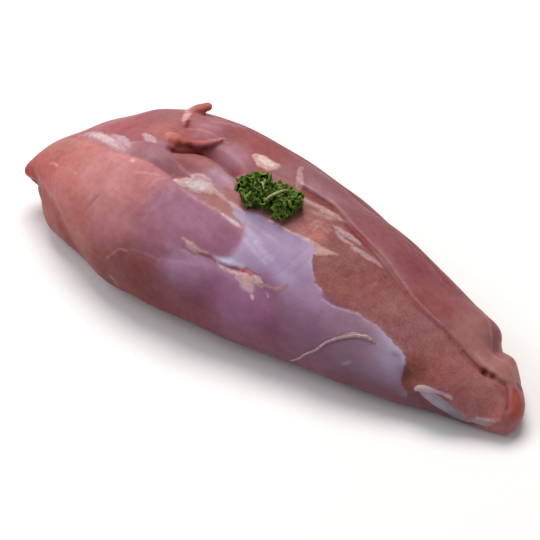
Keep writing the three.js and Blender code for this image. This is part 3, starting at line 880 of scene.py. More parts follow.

# %% [markdown]
# ## Lines, painted highlights, creases and painted shade
#
# Thin pale lines run where the film is folded or cut, and some are painted highlights along
# shines and lit crests. Fine dark creases run where the surface is pinched. Deep places, such as
# the pocket under the flap, hold little light, so painted shade of a deep red is laid into them.

# %% Pale lines and painted highlights
# Pale lines lighten the colour. Some are painted highlights: the three shines of the film, the
# seam light, the light on the lobe and on the tendon, the highlight on the fold, and partly the
# ridge of the left film and the edge of the back muscle, on their lit crests. The rest are pale
# film edges, folds, threads and flecks.
PALE_LINES_AND_HIGHLIGHTS = {
    # name: half width, strength, path
    "ridge of the left film": (1.3, 0.8, [[-65, 66.9], [-60, 66], [-55, 64.9], [-48, 64.2],
        [-41, 63.7], [-31.5, 63.9], [-24, 63.6], [-16, 63], [-8, 62.4]]),
    "left fold of the film": (2.6, 0.35, [[-65, 66], [-62, 62], [-60, 57]]),
    "step in the film": (1.6, 0.25, [[-15, 66.5], [-8, 64.5], [-4, 61], [-2, 55], [-3, 48]]),
    "first shine of the film": (2.6, 0.5, [[-3, 63.4], [5, 61], [14, 57.6], [23, 55.6]]),
    "second shine of the film": (1.8, 0.4, [[-3, 59], [4, 57], [13, 54], [22, 52]]),
    "third shine of the film": (1.6, 0.3, [[-14, 66.6], [-2, 66.4], [10, 66], [22, 65]]),
    "upper edge of the film": (0.9, 0.4, [[-22, 70.5], [-14, 70.5], [-8, 71.6], [-1, 72.8],
        [5, 73.2], [14, 73.2]]),
    "right edge of the film": (1.2, 0.45, [[44, 71], [46, 66], [51, 61], [56, 56.4], [62, 54],
        [66, 50.6], [72, 49.4], [80, 50.6], [89, 53.4], [97, 52.6], [104, 52.6], [111, 50.6],
        [117, 47.6], [124, 44], [129, 39.6], [130, 32]]),
    "end of the right edge": (3, 0.5, [[97, 51.6], [104, 51.4], [111, 49.4], [117, 46.4],
        [124, 43]]),
    "highlight on the fold": (2.2, 0.7, [[-12, 39.8], [-6, 41], [1, 42.4], [8, 43.2]]),
    "upper edge of the left sheet": (2.2, 0.4, [[-54, 66], [-44, 64.4], [-32, 63.6], [-20, 63.2],
        [-10, 62.4], [-5, 60]]),
    "fleck under the thread": (1.2, 0.9, [[94.7, 10.3], [98.4, 13.9]]),
    "fold of the left sheet": (0.9, 0.3, [[-77, 57], [-75, 63], [-71, 66], [-68, 69.4]]),
    "second fold of the sheet": (0.9, 0.2, [[-66, 60], [-65, 54], [-67, 46], [-69, 39]]),
    "line over the sheet": (0.8, 0.4, [[-88, 80], [-82, 78], [-77, 76.8], [-70, 75.4], [-64, 74]]),
    "white end of the line": (1.2, 0.8, [[-68, 74.6], [-63, 73.6], [-58, 73.4]]),
    "low line": (0.9, 0.3, [[-71, 20], [-60, 22], [-47, 22.6]]),
    "second low line": (1.2, 0.25, [[-47, 24], [-36, 27], [-25, 30.4]]),
    "seam light": (3, 0.35, [[-44, 34], [-32, 35], [-20, 33.6], [-6, 34], [6, 34]]),
    "streak on the flap": (1.0, 0.4, [[-82, 93], [-76, 95], [-70.7, 95], [-65, 95.8], [-60, 96.6],
        [-56, 98.8]]),
    "second streak on the flap": (1.2, 0.25, [[-86, 98], [-78, 100], [-71, 101], [-66, 103]]),
    "light on the lobe": (3.4, 0.35, [[-92, 74.5], [-80, 78], [-66, 80], [-55, 81.6], [-43, 82]]),
    "lilac band": (2.4, 0.45, [[-46, 80], [-40, 80.6], [-34, 80], [-27, 78], [-19, 76]]),
    "edge of the back muscle": (0.8, 0.6, [[4, 99.4], [14, 100.4], [24, 100.6], [32, 101.2],
        [41, 99.2], [49, 97.2], [57, 95.7], [66, 93.8], [77, 92.2], [88, 90.2], [101, 87.5],
        [114, 83.9], [127, 82], [138, 81.5]]),
    "film beside the seam": (4.5, 0.3, [[72, 91.4], [84, 90.6], [96, 88.6], [108, 87]]),
    "ridge over the tip": (1.6, 0.35, [[166, 83], [173, 82.4], [179, 84], [186, 88]]),
    "edge behind the tip": (1.0, 0.6, [[152, 128], [158, 122], [164, 114], [169, 112],
        [174, 109]]),
    "streak on the cut": (1.6, 0.15, [[63, 82], [72, 77], [80, 71]]),
    "fleck on the nose": (0.9, 0.7, [[-174, 52], [-170, 53.2], [-164, 50.6]]),
    "fleck on the lobe": (1.2, 0.9, [[-102, 68], [-100.6, 67.6]]),
    "fleck of the lobe": (1.2, 0.25, [[-145, 48.6], [-142, 48]]),
    "fleck under the lobe": (1.0, 0.4, [[-92, 62], [-84, 64], [-76, 66]]),
    "thread of the lobe": (0.8, 0.8, [[-90, 7], [-84, 13], [-80, 17], [-74, 18]]),
    "fleck below": (1.4, 1.0, [[-88, -5], [-84, -7], [-82, -12]]),
    "light on the tendon": (1.8, 0.5, [[152, 10.6], [160, 7.6], [168, 3.4], [176, -2]]),
}
print(len(PALE_LINES_AND_HIGHLIGHTS), "pale lines")

# %% Creases and painted shade
TIP_SEAM = [[174, 73.6], [181, 78], [186, 81.6], [190.6, 87], [194, 84], [197, 74], [199.4, 58]]
FIRST_WRINKLE = [[30, 47], [34, 54], [36, 62], [38, 72]]
SECOND_WRINKLE = [[39, 52], [42, 60], [44, 68]]
CREASES = {
    # name: half width, depth, path
    "crease of the lobe": (1.5, 0.45, [[-110, 43], [-113, 38], [-118, 31], [-119, 24]]),
    "nose seam": (1.3, 0.3, [[-176, 96], [-154, 80.4], [-134, 73.2], [-116, 70.6], [-91, 70.6],
        [-72, 68]]),
    "front seam": (1.4, 0.6, [[-34, 36.4], [-26, 37], [-14, 38.6], [-4, 37], [6, 38.4],
        [12, 41.4]]),
    "back seam": (0.7, 0.5, [[4, 97.4], *BACK_SEAM]),
    "fold before the seam": (0.8, 0.4, [[156, 74.8], [160, 73.4], [166, 71.6], [173, 72]]),
    "tip seam": (1.0, 0.7, [[158, 76.2], [164, 74.4], *TIP_SEAM]),
    "hole in the tip": (2.0, 2.0, [[175.6, 74.4], [177, 75]]),
    "second hole in the tip": (1.6, 1.4, [[181, 78.6], [182.4, 79.6]]),
    "tear behind the tag": (1.4, 1.0, [[-86, 93.8], [-88, 96.4], [-90.4, 99]]),
    "step of the film": (1.6, 0.12, [[-15, 64.6], [-9, 62.6], [-5.4, 58], [-4.6, 50]]),
    "first wrinkle": (0.8, 0.12, FIRST_WRINKLE),
    "second wrinkle": (0.8, 0.1, SECOND_WRINKLE),
    "seam on the back": (3.0, 1.4, [[-170, 150], [-140, 158], [-100, 160], [-50, 156], [0, 158],
        [50, 163], [100, 165], [140, 160]]),
    "second seam on the back": (2.4, 1.0, [[-60, 128], [-20, 134], [30, 137], [80, 133],
        [120, 126]]),
}
# Painted shade: deep red laid into pockets, creases, gaps and holes where little light reaches.
# The red fleck by the film is the meat's own colour.
PAINTED_SHADE_PLACES = {
    # name: half width, strength, path
    "mouth of the pocket": (2.8, 1.0, [[-85, 82], [-80, 82], [-75, 82.8], [-70, 84.4],
        [-65, 86.8]]),
    "depth of the pocket": (2.4, 1.0, [[-82, 84.4], [-78.5, 85.2], [-75, 86.2], [-70, 87.8],
        [-66, 89.4]]),
    "foot of the wall": (3.2, 0.45, [[-62, 88], [-57, 88.4], [-51.7, 88.2], [-44.6, 87.4],
        [-38.7, 86.6], [-35.4, 86.4]]),
    "end of the wall": (2, 0.4, [[-42, 87], [-36, 86.6]]),
    "tear behind the tag": (1.8, 1.0, [[-86.4, 94], [-88.4, 97], [-90.6, 100]]),
    "hole in the tip": (1.9, 1.0, [[175.4, 74.4], [177, 75]]),
    "under the tendon": (2, 0.5, [[147, 0], [152, -8], [158, -16]]),
    "second hole in the tip": (1.4, 0.8, [[181, 78.4], [182.4, 79.4]]),
    "tip seam": (1.4, 0.45, [[160, 74.6], [168, 73.4], *TIP_SEAM]),
    "back seam": (0.6, 0.5, [[4, 97], *shifted(BACK_SEAM, -0.4)]),
    "gap under the back muscle": (2.2, 0.1, [[5, 96], [14, 96.6], [24, 97.2], [32, 98]]),
    "shadow of the first strip": (2, 0.25, [[14, 89.6], [20, 90], [25, 91.4]]),
    "fold before the seam": (1.2, 0.25, [[146, 77], [156, 74.4], [166, 71.6], [173, 72]]),
    "fold below the nose": (4, 0.2, [[-190, 14], [-182, 16], [-172, 15.6], [-162, 13.4]]),
    "crease of the lobe": (1.2, 0.25, [[-111, 41], [-115, 35], [-119, 27]]),
    "under the highlight on the fold": (1.2, 0.45, [[-22, 38.4], [-12, 38.8], [-4, 39.2], [4, 40]]),
    "first wrinkle": (0.7, 0.13, FIRST_WRINKLE),
    "second wrinkle": (0.7, 0.1, SECOND_WRINKLE),
    "red fleck by the film": (1.6, 0.35, [[122, 38], [125, 38]]),
}
print(len(CREASES), "creases,", len(PAINTED_SHADE_PLACES), "dark places")

# %% [markdown]
# ## Soft tints
#
# Veal is pale, but no two muscles of it are the same pink. Blood left in them turns some
# browner, air turns others orange, and a film over them makes them mauve. Two tints low on the
# front are also painted darker, as painted shade where the meat curves under. A few soft tints,
# each named for its place, fade into each other like wet paint. Two lines along the meat part
# the front muscles, the flat muscle between and the back ones, and no tint crosses them.

# %% Tints of the muscles
FRONT_LINE = [[-207, 92], *NOSE_SEAM, [-91, 70.4], [-78, 69], [-66, 67], [-57, 64.8],
              [-38, 63.4], [-17, 62.8], [-4, 61], [20, 60], [50, 58], [62, 53], [104, 52],
              [126, 42], [131, 30], [133, 14], [140, 11], [146, 11], [152, 8], [158, 5],
              [165, 2], [174, -4], [183, -8], [190, -14], [207, -30]]
BACK_LINE = [[-207, 95], [-176, 98], [-154, 84], [-134, 80], [-114, 79], [-100, 83.6],
             [-91, 84], [-86, 82], [-80, 82.4], [-74, 83.6], [-69, 85], [-64, 86.4],
             [-57, 87], [-48, 86.6], [-40, 85.6], [-30, 87], [-14, 95], [0, 97.4],
             *BACK_SEAM, *ROUND_THE_TIP, [201, 150], [204, 176]]
FRONT_TINTS = {
    # name: place, reach in mm, colour
    "tip of the nose": ([-203, 44], 18, "#aa3426"),
    "top of the nose": ([-178, 74], 16, "#a46c6a"),
    "side of the nose": ([-176, 44], 16, "#b65a52"),
    "under the nose": ([-186, 6], 12, "#80463f"),
    "left of the lobe": ([-146, 46], 22, "#bd7874"),
    "middle of the lobe": ([-114, 52], 24, "#bd8280"),
    "right of the lobe": ([-88, 58], 12, "#ad6c6c"),
    "low on the lobe": ([-132, 20], 18, "#aa5c56"),
    "low right of the lobe": ([-96, 30], 16, "#b07078"),
    "left front edge": ([-135, -6], 18, "#84403a"),
    # Painted shade: this tint and the low front film below are darkened for the shade where the
    # meat curves under towards the floor
    "brown shaded front edge": ([-74, 0], 28, "#703430"),
    "left film high": ([-58, 54], 10, "#94667e"),
    "left film": ([-40, 48], 15, "#986680"),
    "left film low": ([-62, 36], 12, "#986070"),
    "over the front seam": ([-30, 42], 8, "#92586a"),
    "front film high": ([-28, 27], 13, "#9a7896"),
    "front film": ([16, 20], 18, "#966688"),
    "front film right": ([60, 8], 20, "#784c62"),
    "shaded low front film": ([-24, 0], 24, "#6e3238"),
    "front edge": ([30, -8], 20, "#744450"),
    "front edge right": ([110, -12], 24, "#6c4450"),
    "cut at the tendon": ([170, -14], 12, "#5e3a3e"),
    "under the tip": ([190, -30], 10, "#744a4c"),
}
MIDDLE_TINTS = {
    "nose tip in the middle": ([-206, 94], 10, "#aa4236"),
    "sheet at the nose seam": ([-122, 75], 9, "#b88084"),
    "sheet by the flap": ([-98, 78], 10, "#9a6a74"),
    "sheet by the pocket": ([-80, 76], 9, "#84545f"),
    "lobe by the pocket": ([-68, 82], 8, "#8a4a48"),
    "lobe at its edge": ([-50, 84], 7, "#965a58"),
    "lobe by the parsley": ([-42, 80], 6, "#a67e90"),
    "under the parsley": ([-10, 82], 11, "#9c6468"),
    "orange meat by the seam": ([36, 80.6], 5, "#ac6c64"),
    "right of the parsley": ([18, 86], 11, "#9a625f"),
    "upper cut": ([56, 76], 14, "#845250"),
    "middle of the cut": ([82, 66], 18, "#844a4a"),
    "cut by the film": ([66, 58], 10, "#885049"),
    "right of the cut": ([118, 60], 18, "#8c5a5c"),
    "right of the hollow": ([156, 34], 9, "#965c58"),
    "cut at the hollow": ([141, 22], 11, "#7c463c"),
    "end of the cut": ([172, 50], 13, "#945f5f"),
    "slim tip": ([203, 27], 7, "#bc7670"),
}
BACK_TINTS = {
    "nose tip from behind": ([-206, 128], 12, "#a8483c"),
    "nose from above": ([-184, 100], 14, "#b47472"),
    "upper left muscle": ([-146, 96], 20, "#a05c60"),
    "behind the flap": ([-116, 112], 16, "#925d61"),
    "left of the lip": ([-104, 92], 7, "#a96a66"),
    "top of the flap": ([-84, 93], 7, "#925250"),
    "film on the flap": ([-74, 99], 9, "#a0707a"),
    "around the tag": ([-84, 106], 9, "#9c6468"),
    "wall of the hollow": ([-46, 95], 9, "#ad8494"),
    "behind the parsley": ([-44, 112], 18, "#96524f"),
    "right of the fat": ([-14, 102], 8, "#90646a"),
    "sheet on the back muscle": ([12, 103], 5, "#a47e84"),
    "right of the sheet": ([26, 104], 5, "#a07a84"),
    "by the fringe": ([8, 116], 13, "#8c656c"),
    "back muscle left": ([40, 112], 16, "#905e64"),
    "back muscle": ([80, 108], 18, "#8a5056"),
    "back muscle right": ([122, 100], 18, "#8a4b50"),
    "end of the back muscle": ([158, 98], 12, "#9c6a6a"),
    # Partly painted highlight: the top over the slim tip is lightened for the highlight there
    "over the slim tip": ([184, 96], 9, "#a8766e"),
    "behind the slim end": ([164, 132], 8, "#7a3a40"),
    "band by the seam": ([82, 89.5], 7, "#8b585f"),
    "left of the back": ([-130, 150], 34, "#a05a5e"),
    "middle of the back": ([-20, 155], 40, "#8e4c54"),
    "right of the back": ([90, 155], 34, "#86484e"),
    "low on the back": ([0, 190], 60, "#7c4248"),
    "tip from behind": ([180, 150], 20, "#9a5e5c"),
}
FILM_TINTS = {
    "film by the parsley": ([-6, 70], 9, "#94809c"),
    "upper film": ([20, 70], 12, "#947c9a"),
    "bright film": ([0, 55], 11, "#b0a0b9"),
    # Painted highlight: the bluish white on the fold of the film
    "highlight on the fold": ([-3, 41.4], 4, "#b4b4cc"),
    "film in the middle": ([24, 58], 13, "#9c84a8"),
    "film at its corner": ([42, 64], 10, "#a28aa6"),
    "film over the seam": ([8, 47], 7, "#9f849f"),
    "grey of the film": ([2, 68.4], 6, "#72607a"),
    "film over the cluster": ([30, 47], 8, "#baaccf"),
    "film right": ([58, 48], 10, "#9c7e9c"),
    "film far right": ([84, 46], 10, "#8e6e82"),
    "film at its end": ([118, 42], 10, "#a18ea8"),
    "low film": ([60, 30], 13, "#825c74"),
    "low film right": ([98, 28], 13, "#8a6c7c"),
    "film's front edge": ([90, 4], 16, "#705266"),
}


def blended(points, tints):
    """The linear colour at each point: every tint counts by how near it is."""
    total = np.zeros((len(points), 3))
    weight = np.zeros(len(points))
    for place, reach, colour in tints.values():
        middle = path_on_meat([place, place])[0][0]
        near = 1 / (1 + (np.linalg.norm(points - middle, axis=1) / reach) ** 4)
        total += near[:, None] * np.array(linear(colour)[:3])
        weight += near
    return total / weight[:, None]


TINT_EDGE = 0.9  # half the width over which the tints change at a line, in mm
lean_tint = blended(base, FRONT_TINTS)
for line, tints in ((FRONT_LINE, MIDDLE_TINTS), (BACK_LINE, BACK_TINTS)):
    behind = ramp(behind_path(base, line), -TINT_EDGE, TINT_EDGE)[:, None]
    lean_tint += behind * (blended(base, tints) - lean_tint)
film_tint = blended(base, FILM_TINTS)
print("tints:", len(FRONT_TINTS) + len(MIDDLE_TINTS) + len(BACK_TINTS) + len(FILM_TINTS))

# %% [markdown]
# ## Painting the points
#
# Each mark becomes a number at each point of the skin. Where a mark has an edge, the number is
# its distance in millimetres, and noise lets that edge wander in and out, as torn film and
# scraped fat do. The material only has to add the finest tatters.

# %% From marks to numbers
WINS_INSIDE = 0.3  # mm inside a later patch at which it covers an earlier one
SINEW_DEPTH = 3.0  # mm: how deep inside the film a tendon counts
SKEW = np.array([[0.80, 0.36, 0.48], [-0.60, 0.48, 0.64], [0.0, -0.80, 0.60]])


def grain(points, size, seed, stretch=1.0):
    """Uneven heights from -1 to 1 whose lumps are about size mm across, longer along X. The
    skew turns the noise, whose own grid would show along the meat."""
    shift = Vector((seed * 13.7, seed * 7.1, seed * 3.3))
    scaled = points / np.array([size * stretch, size, size]) @ SKEW
    return np.array([noise.noise(Vector(p) + shift) for p in scaled.tolist()])


def tattered(depth, wander, size, seed):
    """An edge that wanders in and out by about so many mm, in large and small waves."""
    return depth + wander * (grain(base, size, seed) + 0.6 * grain(base, size * 0.4, seed + 1))


def patches(marks):
    """The depth inside the nearest patch, and that patch's colour, at each point."""
    deep = np.full(len(base), -FAR)
    tint = np.zeros((len(base), 3))
    for mark in marks.values():
        colour = np.array(linear(mark[0])[:3])
        inside = np.max([inside_stroke(base, stroke) for stroke in mark[-1]], axis=0)
        wins = (inside > deep) | (inside > WINS_INSIDE)
        tint[wins] = colour
        deep = np.maximum(deep, inside)
    return deep, tint


def strongest(marks):
    """The strongest of several soft lines at each point."""
    most = np.zeros(len(base))
    for width, strength, path in marks.values():
        most = np.maximum(most, strength * bell(away_from(base, path) / width))
    return most


film_depth = tattered(inside_outline(share, angle, base, FILM), wander=1.3, size=4, seed=20)
film_strength = (ramp(away_from(base, FILM_THINS_OUT), 0, THINNING)
                 * ramp(away_from(base, FILM_SOFT_EDGE), -1, SOFT_EDGE))
bare_depth, bare_tint = patches(BARE)
bare_depth = tattered(bare_depth, wander=1.7, size=4.5, seed=22)
fat_depth, fat_tint = patches(FAT)
fat_depth = tattered(fat_depth, wander=1.1, size=4, seed=24)
for depth in (film_depth, bare_depth, fat_depth):
    depth[on_body < 0.5] = -FAR
sinew = np.maximum(on_bar["tendon"], on_bar["rim"])
film_depth = np.maximum(film_depth, 2 * SINEW_DEPTH * sinew - SINEW_DEPTH)
film_strength = np.maximum(film_strength, sinew)
# Pale lines, some of them painted highlights
pale_and_highlight = strongest(PALE_LINES_AND_HIGHLIGHTS)
# Painted shade: how strongly the deep red is laid in at each point
painted_shade = strongest(PAINTED_SHADE_PLACES) * on_body
CUT_BEGINS = (4, 30)  # x over which the flat muscle's whole face turns into its cut face
cut_face = (ramp(behind_path(base, FRONT_LINE), 0, 3) * ramp(-behind_path(base, BACK_LINE), 0, 3)
            * ramp(x_at, *CUT_BEGINS) * (1 - ramp(film_depth, -1.5, 0.5)))
print("film covers", round(100 * float((film_depth > 0).mean()), 1), "% of the points")

# %% [markdown]
# ## Colours of the bars
#
# The lip's edge has dried a little and turned orange where it is thick, and its right end is
# thin and lets light through. Its underside is painted dark red, as painted shade. The tag is
# torn fat at its foot and meat at its end. A tendon is bluish grey and glossy, and takes the
# finish of the silverskin. Its ridge is painted lighter, as a painted highlight, and its lower
# side darker, as painted shade.

# %% Tints of the bars
BAR_TINTS = {
    "lip": {
        "left end of the lip": ([-94, 88], 5, "#ba7466"),
        "roll of the lip": ([-88, 87], 5, "#ba6a5e"),
        "middle of the lip": ([-79, 88.4], 5, "#a85852"),
        "upper side of the lip": ([-83, 91.4], 4, "#a0605c"),
        "right of the upper side": ([-72, 92.4], 4, "#a4646a"),
        # Painted shade: the underside of the lip, over the pocket
        "shaded left of the underside": ([-87, 83], 3, "#6a2420"),
        "shaded underside of the lip": ([-80, 83.2], 3.4, "#561414"),
        "shaded right of the underside": ([-72, 84.8], 3, "#561414"),
        "right half of the lip": ([-69, 89.4], 5, "#ac5e5c"),
        "right end of the lip": ([-62, 93], 6, "#b47070"),
    },
    "tag": {
        "foot of the tag": ([-104, 113], 6, "#c09290"),
        "middle of the tag": ([-96, 117], 5, "#b46458"),
        "end of the tag": ([-88, 120], 5, "#a8685e"),
    },
    "tendon": {
        "start of the tendon": ([150, 12], 5, "#8a7e84"),
        # Painted highlight on the ridge of the tendon, painted shade on its lower side
        "lit ridge of the tendon": ([161, 6], 7, "#877f8a"),
        "shaded side of the tendon": ([165, -14], 7, "#625862"),
        "end of the tendon": ([184, -8], 6, "#7d7076"),
    },
    "rim": {
        "left of the rim": ([144, 8], 4, "#ab9592"),
        "right of the rim": ([162, 22], 6, "#b3a2ac"),
    },
}
for name, tints in BAR_TINTS.items():
    tint = film_tint if name in ("tendon", "rim") else lean_tint
    tint += on_bar[name][:, None] * (blended(base, tints) - tint)
print("tints on the bars:", {name: len(tints) for name, tints in BAR_TINTS.items()})

# %% [markdown]
# ## Fine relief
#
# What the solid leaves out is added to the skin itself, so that it is real shape and casts its
# own small shadows: the film stands a third of a millimetre over the cut, fat is lumpy, the
# cut face is uneven, and the lean muscles swell and sink a little. What is finer than the
# skin's own faces, the grain and the fibres, is left to the material.

# %% Fine relief on the skin
# Heights in mm of what the solid leaves out
FILM_THICKNESS = 0.3
BARE_SPOT = 0.25
FAT_CRUMBS = 0.2
CUT_FACE_GRAIN = 0.35
SWELLS = 0.35
SWELLS_OF_LEAN = 0.4  # on top of those
PALE_LINE = 0.25


def fine_relief():
    """How far each point of the skin moves outwards, in mm."""
    film = ramp(film_depth, -0.6, 1.4) * film_strength
    fat = ramp(fat_depth, -0.6, 1.6) * on_body
    height = FILM_THICKNESS * film - BARE_SPOT * ramp(bare_depth, -0.8, 1.2)
    heights = np.zeros(len(base))
    for _, rise, strokes in FAT.values():
        inside = np.max([inside_stroke(base, stroke) for stroke in strokes], axis=0)
        heights = np.maximum(heights, rise * ramp(inside, -1.5, 2.0))
    height += heights * fat * (1 + 0.5 * grain(skin_points, size=3.6, seed=1))
    height += FAT_CRUMBS * fat * grain(skin_points, size=2.6, seed=2)
    height += CUT_FACE_GRAIN * cut_face * grain(skin_points, size=7, seed=4)
    lean = (1 - film) * (1 - cut_face) * (1 - fat)
    swells = SWELLS + SWELLS_OF_LEAN * lean
    height += swells * grain(skin_points, size=16, seed=6, stretch=2.0)
    for width, depth, path in CREASES.values():
        height -= depth * bell(away_from(base, path) / width) * np.maximum(on_body, 0.2)
    for width, strength, path in PALE_LINES_AND_HIGHLIGHTS.values():
        height += PALE_LINE * strength * bell(away_from(base, path) / width)
    return height * ramp(skin_points[:, 2], 0, FLOOR_MARGIN)


fine_height = fine_relief()
move_points(skin, skin_points + vectors_of(skin, "normal") * fine_height[:, None])
print("fine relief from", round(fine_height.min(), 2), "to", round(fine_height.max(), 2), "mm")

# %% [markdown]
# ## Attributes for the material
#
# The numbers and colours are stored on the mesh as named attributes, which the material reads.
# The fibre map has x along the meat and the angle across it, so fibres drawn on it run
# lengthwise and draw together towards both ends, as they do in a muscle.

# %% Store the attributes
FIBRE_MM_PER_DEGREE = 1.35
KEPT_DEPTH = 6  # mm: further from an edge its distance makes no difference


def keep(mesh, name, values):
    """Stores one number, a vector or a colour for each point of a mesh."""
    values = np.asarray(values, np.float32)
    kinds = {1: ("FLOAT", "value"), 3: ("FLOAT_VECTOR", "vector"), 4: ("FLOAT_COLOR", "color")}
    kind, field = kinds[values.size // len(values)]
    mesh.attributes.new(name, kind, "POINT").data.foreach_set(field, values.ravel())


for name, rgb in {"lean_tint": lean_tint, "film_tint": film_tint, "bare_tint": bare_tint,
                  "fat_tint": fat_tint}.items():
    keep(skin, name, np.concatenate([rgb, np.ones((len(rgb), 1))], axis=1))
for name, depth in {"film_depth": film_depth, "bare_depth": bare_depth,
                    "fat_depth": fat_depth}.items():
    keep(skin, name, np.clip(depth, -KEPT_DEPTH, KEPT_DEPTH))
for name, share_of_it in {"film_strength": film_strength, "pale_and_highlight": pale_and_highlight, "painted_shade": painted_shade,
                          "cut_face": cut_face}.items():
    keep(skin, name, share_of_it)
keep(skin, "fibre_map", np.stack([x_at, angle * FIBRE_MM_PER_DEGREE, 0 * angle], 1))
print("attributes:", [a.name for a in skin.attributes if not a.name.startswith(".")])

# %% [markdown]
# ## Finishes of raw veal
#
# Three finishes make up the surface. Lean muscle is a mass of wet fibres: pink, a little
# clear, with darker and paler streaks along the grain. Silverskin is a tough, thin, bluish
# film that was pulled smooth over the muscle: it is shinier and has fine straight lines.
# Fat is cream, dense and crumbly. Each finish is a short function that returns its colour
# and the height of its finest relief in millimetres.

# %% Lean muscle
SMOOTH = {"output": "Result", "interpolation_type": "SMOOTHSTEP"}  # of a Map Range node


def shade(tree, colour, darker, lighter, factor):
    """A colour that runs from darker to lighter as the factor goes from 0 to 1."""
    low = add_node(tree, "ShaderNodeHueSaturation",
                   {"Color": colour, "Value": darker, "Saturation": 1.03})
    high = add_node(tree, "ShaderNodeHueSaturation",
                    {"Color": colour, "Value": lighter, "Saturation": 0.97})
    return add_node(tree, "ShaderNodeMix", {"Factor_Float": factor, "A_Color": low,
                                            "B_Color": high},
                    output="Result_Color", data_type="RGBA")


def uneven(tree, place, scale, detail, rise, to=(0.0, 1.0)):
    """Noise at a place, plain or with a smooth rise from one of its levels to another."""
    level = add_node(tree, "ShaderNodeTexNoise",
                     {"Vector": place, "Scale": scale, "Detail": detail}, output="Fac")
    if rise is None:
        return level
    return add_node(tree, "ShaderNodeMapRange", [level, *rise, *to], **SMOOTH)


def streaks(tree, long, wide, turn, rise=(0.3, 0.7), detail=3.0):
    """Noise on the fibre map whose streaks are so many mm long and wide."""
    fibre_map = add_node(tree, "ShaderNodeAttribute", output="Vector",
                         attribute_name="fibre_map")
    turned = add_node(tree, "ShaderNodeMapping",
                      {"Vector": fibre_map, "Rotation": (0, 0, math.radians(turn))})
    scaled = add_node(tree, "ShaderNodeMapping",
                      {"Vector": turned, "Scale": (1 / long, 1 / wide, 1)})
    return uneven(tree, scaled, 1.0, detail, rise)


def spots(tree, size, rise=(0.3, 0.7), detail=2.0, to=(0.0, 1.0)):
    """Noise in space whose spots are so many mm across, turned so that its grid is hidden."""
    place = add_node(tree, "ShaderNodeTexCoord", output="Object")
    turned = add_node(tree, "ShaderNodeMapping", {"Vector": place, "Rotation": (0.6, 0.9, 0.4)})
    return uneven(tree, turned, 1 / (size * MM), detail, rise, to)


def lean_muscle(tree, tint):
    """Wet muscle fibres: blotches of blood, fine mottling, and faint lengthwise streaks."""
    fibres = streaks(tree, 22, 1.6, turn=9)
    colour = shade(tree, tint, 0.96, 1.04, spots(tree, 19, (0.32, 0.68)))
    colour = shade(tree, colour, 0.955, 1.045, spots(tree, 5, detail=3.0))
    colour = shade(tree, colour, 0.99, 1.01, fibres)
    return colour, add_node(tree, "ShaderNodeMath", [fibres, 0.012], operation="MULTIPLY")


print("fibres are 1.6 mm wide here, coarser than real ones, so that they show")

# %% Cut face, silverskin and fat
def cut_grain(tree):
    """The ends of cut fibre bundles: small pale grains with darker meat between."""
    place = add_node(tree, "ShaderNodeTexCoord", output="Object")
    cells = add_node(tree, "ShaderNodeTexVoronoi",
                     {"Vector": place, "Scale": 1 / (1.5 * MM), "Randomness": 1.0},
                     output="Distance", feature="SMOOTH_F1")
    return add_node(tree, "ShaderNodeMapRange", [cells, 0.15, 0.75, 1.0, 0.0], **SMOOTH)


def silverskin(tree, tint):
    """A thin tough film, pulled smooth: faintly clouded, with fine lines that cross."""
    cloud = spots(tree, 9, detail=3.0)
    lengthwise = streaks(tree, 26, 2.2, turn=4, rise=(0.35, 0.7))
    slanting = streaks(tree, 16, 1.8, turn=-58, rise=(0.45, 0.75), detail=2.0)
    colour = shade(tree, tint, 0.95, 1.05, cloud)
    colour = shade(tree, colour, 0.985, 1.02, lengthwise)
    colour = shade(tree, colour, 0.99, 1.01, slanting)
    return colour, add_node(tree, "ShaderNodeMath", [cloud, 0.05], operation="MULTIPLY")


def fat(tree, tint):
    """Raw fat: dense and crumbly, waxy white where it is thick."""
    crumbs = spots(tree, 1.7, detail=3.0)
    colour = shade(tree, tint, 0.92, 1.05, crumbs)
    colour = shade(tree, colour, 0.9, 1.06, spots(tree, 4.5))
    return colour, add_node(tree, "ShaderNodeMath", [crumbs, 0.12], operation="MULTIPLY")


print("cut grains are about 1.5 mm, and crumbs of fat 1.7 mm")

# %% [markdown]
# ## The whole surface
#
# The finishes are laid over each other with the numbers from the mesh as masks. A little noise
# shifts each edge, so that it is ragged like torn film. Below the surface, light scatters
# through wet meat, red deepest: that is the subsurface part, and without it meat looks like
# clay. The thin water on top is a coat, smooth but not still. Meat's own index of refraction
# is near that of water with protein in it, 1.38, and it has no metal in it at all.

# %% Raw veal
# The deep red of the painted shade in pockets, creases and gaps
SHADE_RED = "#6c1a1a"
FRAYING = 1.8  # how far noise moves an edge, in mm


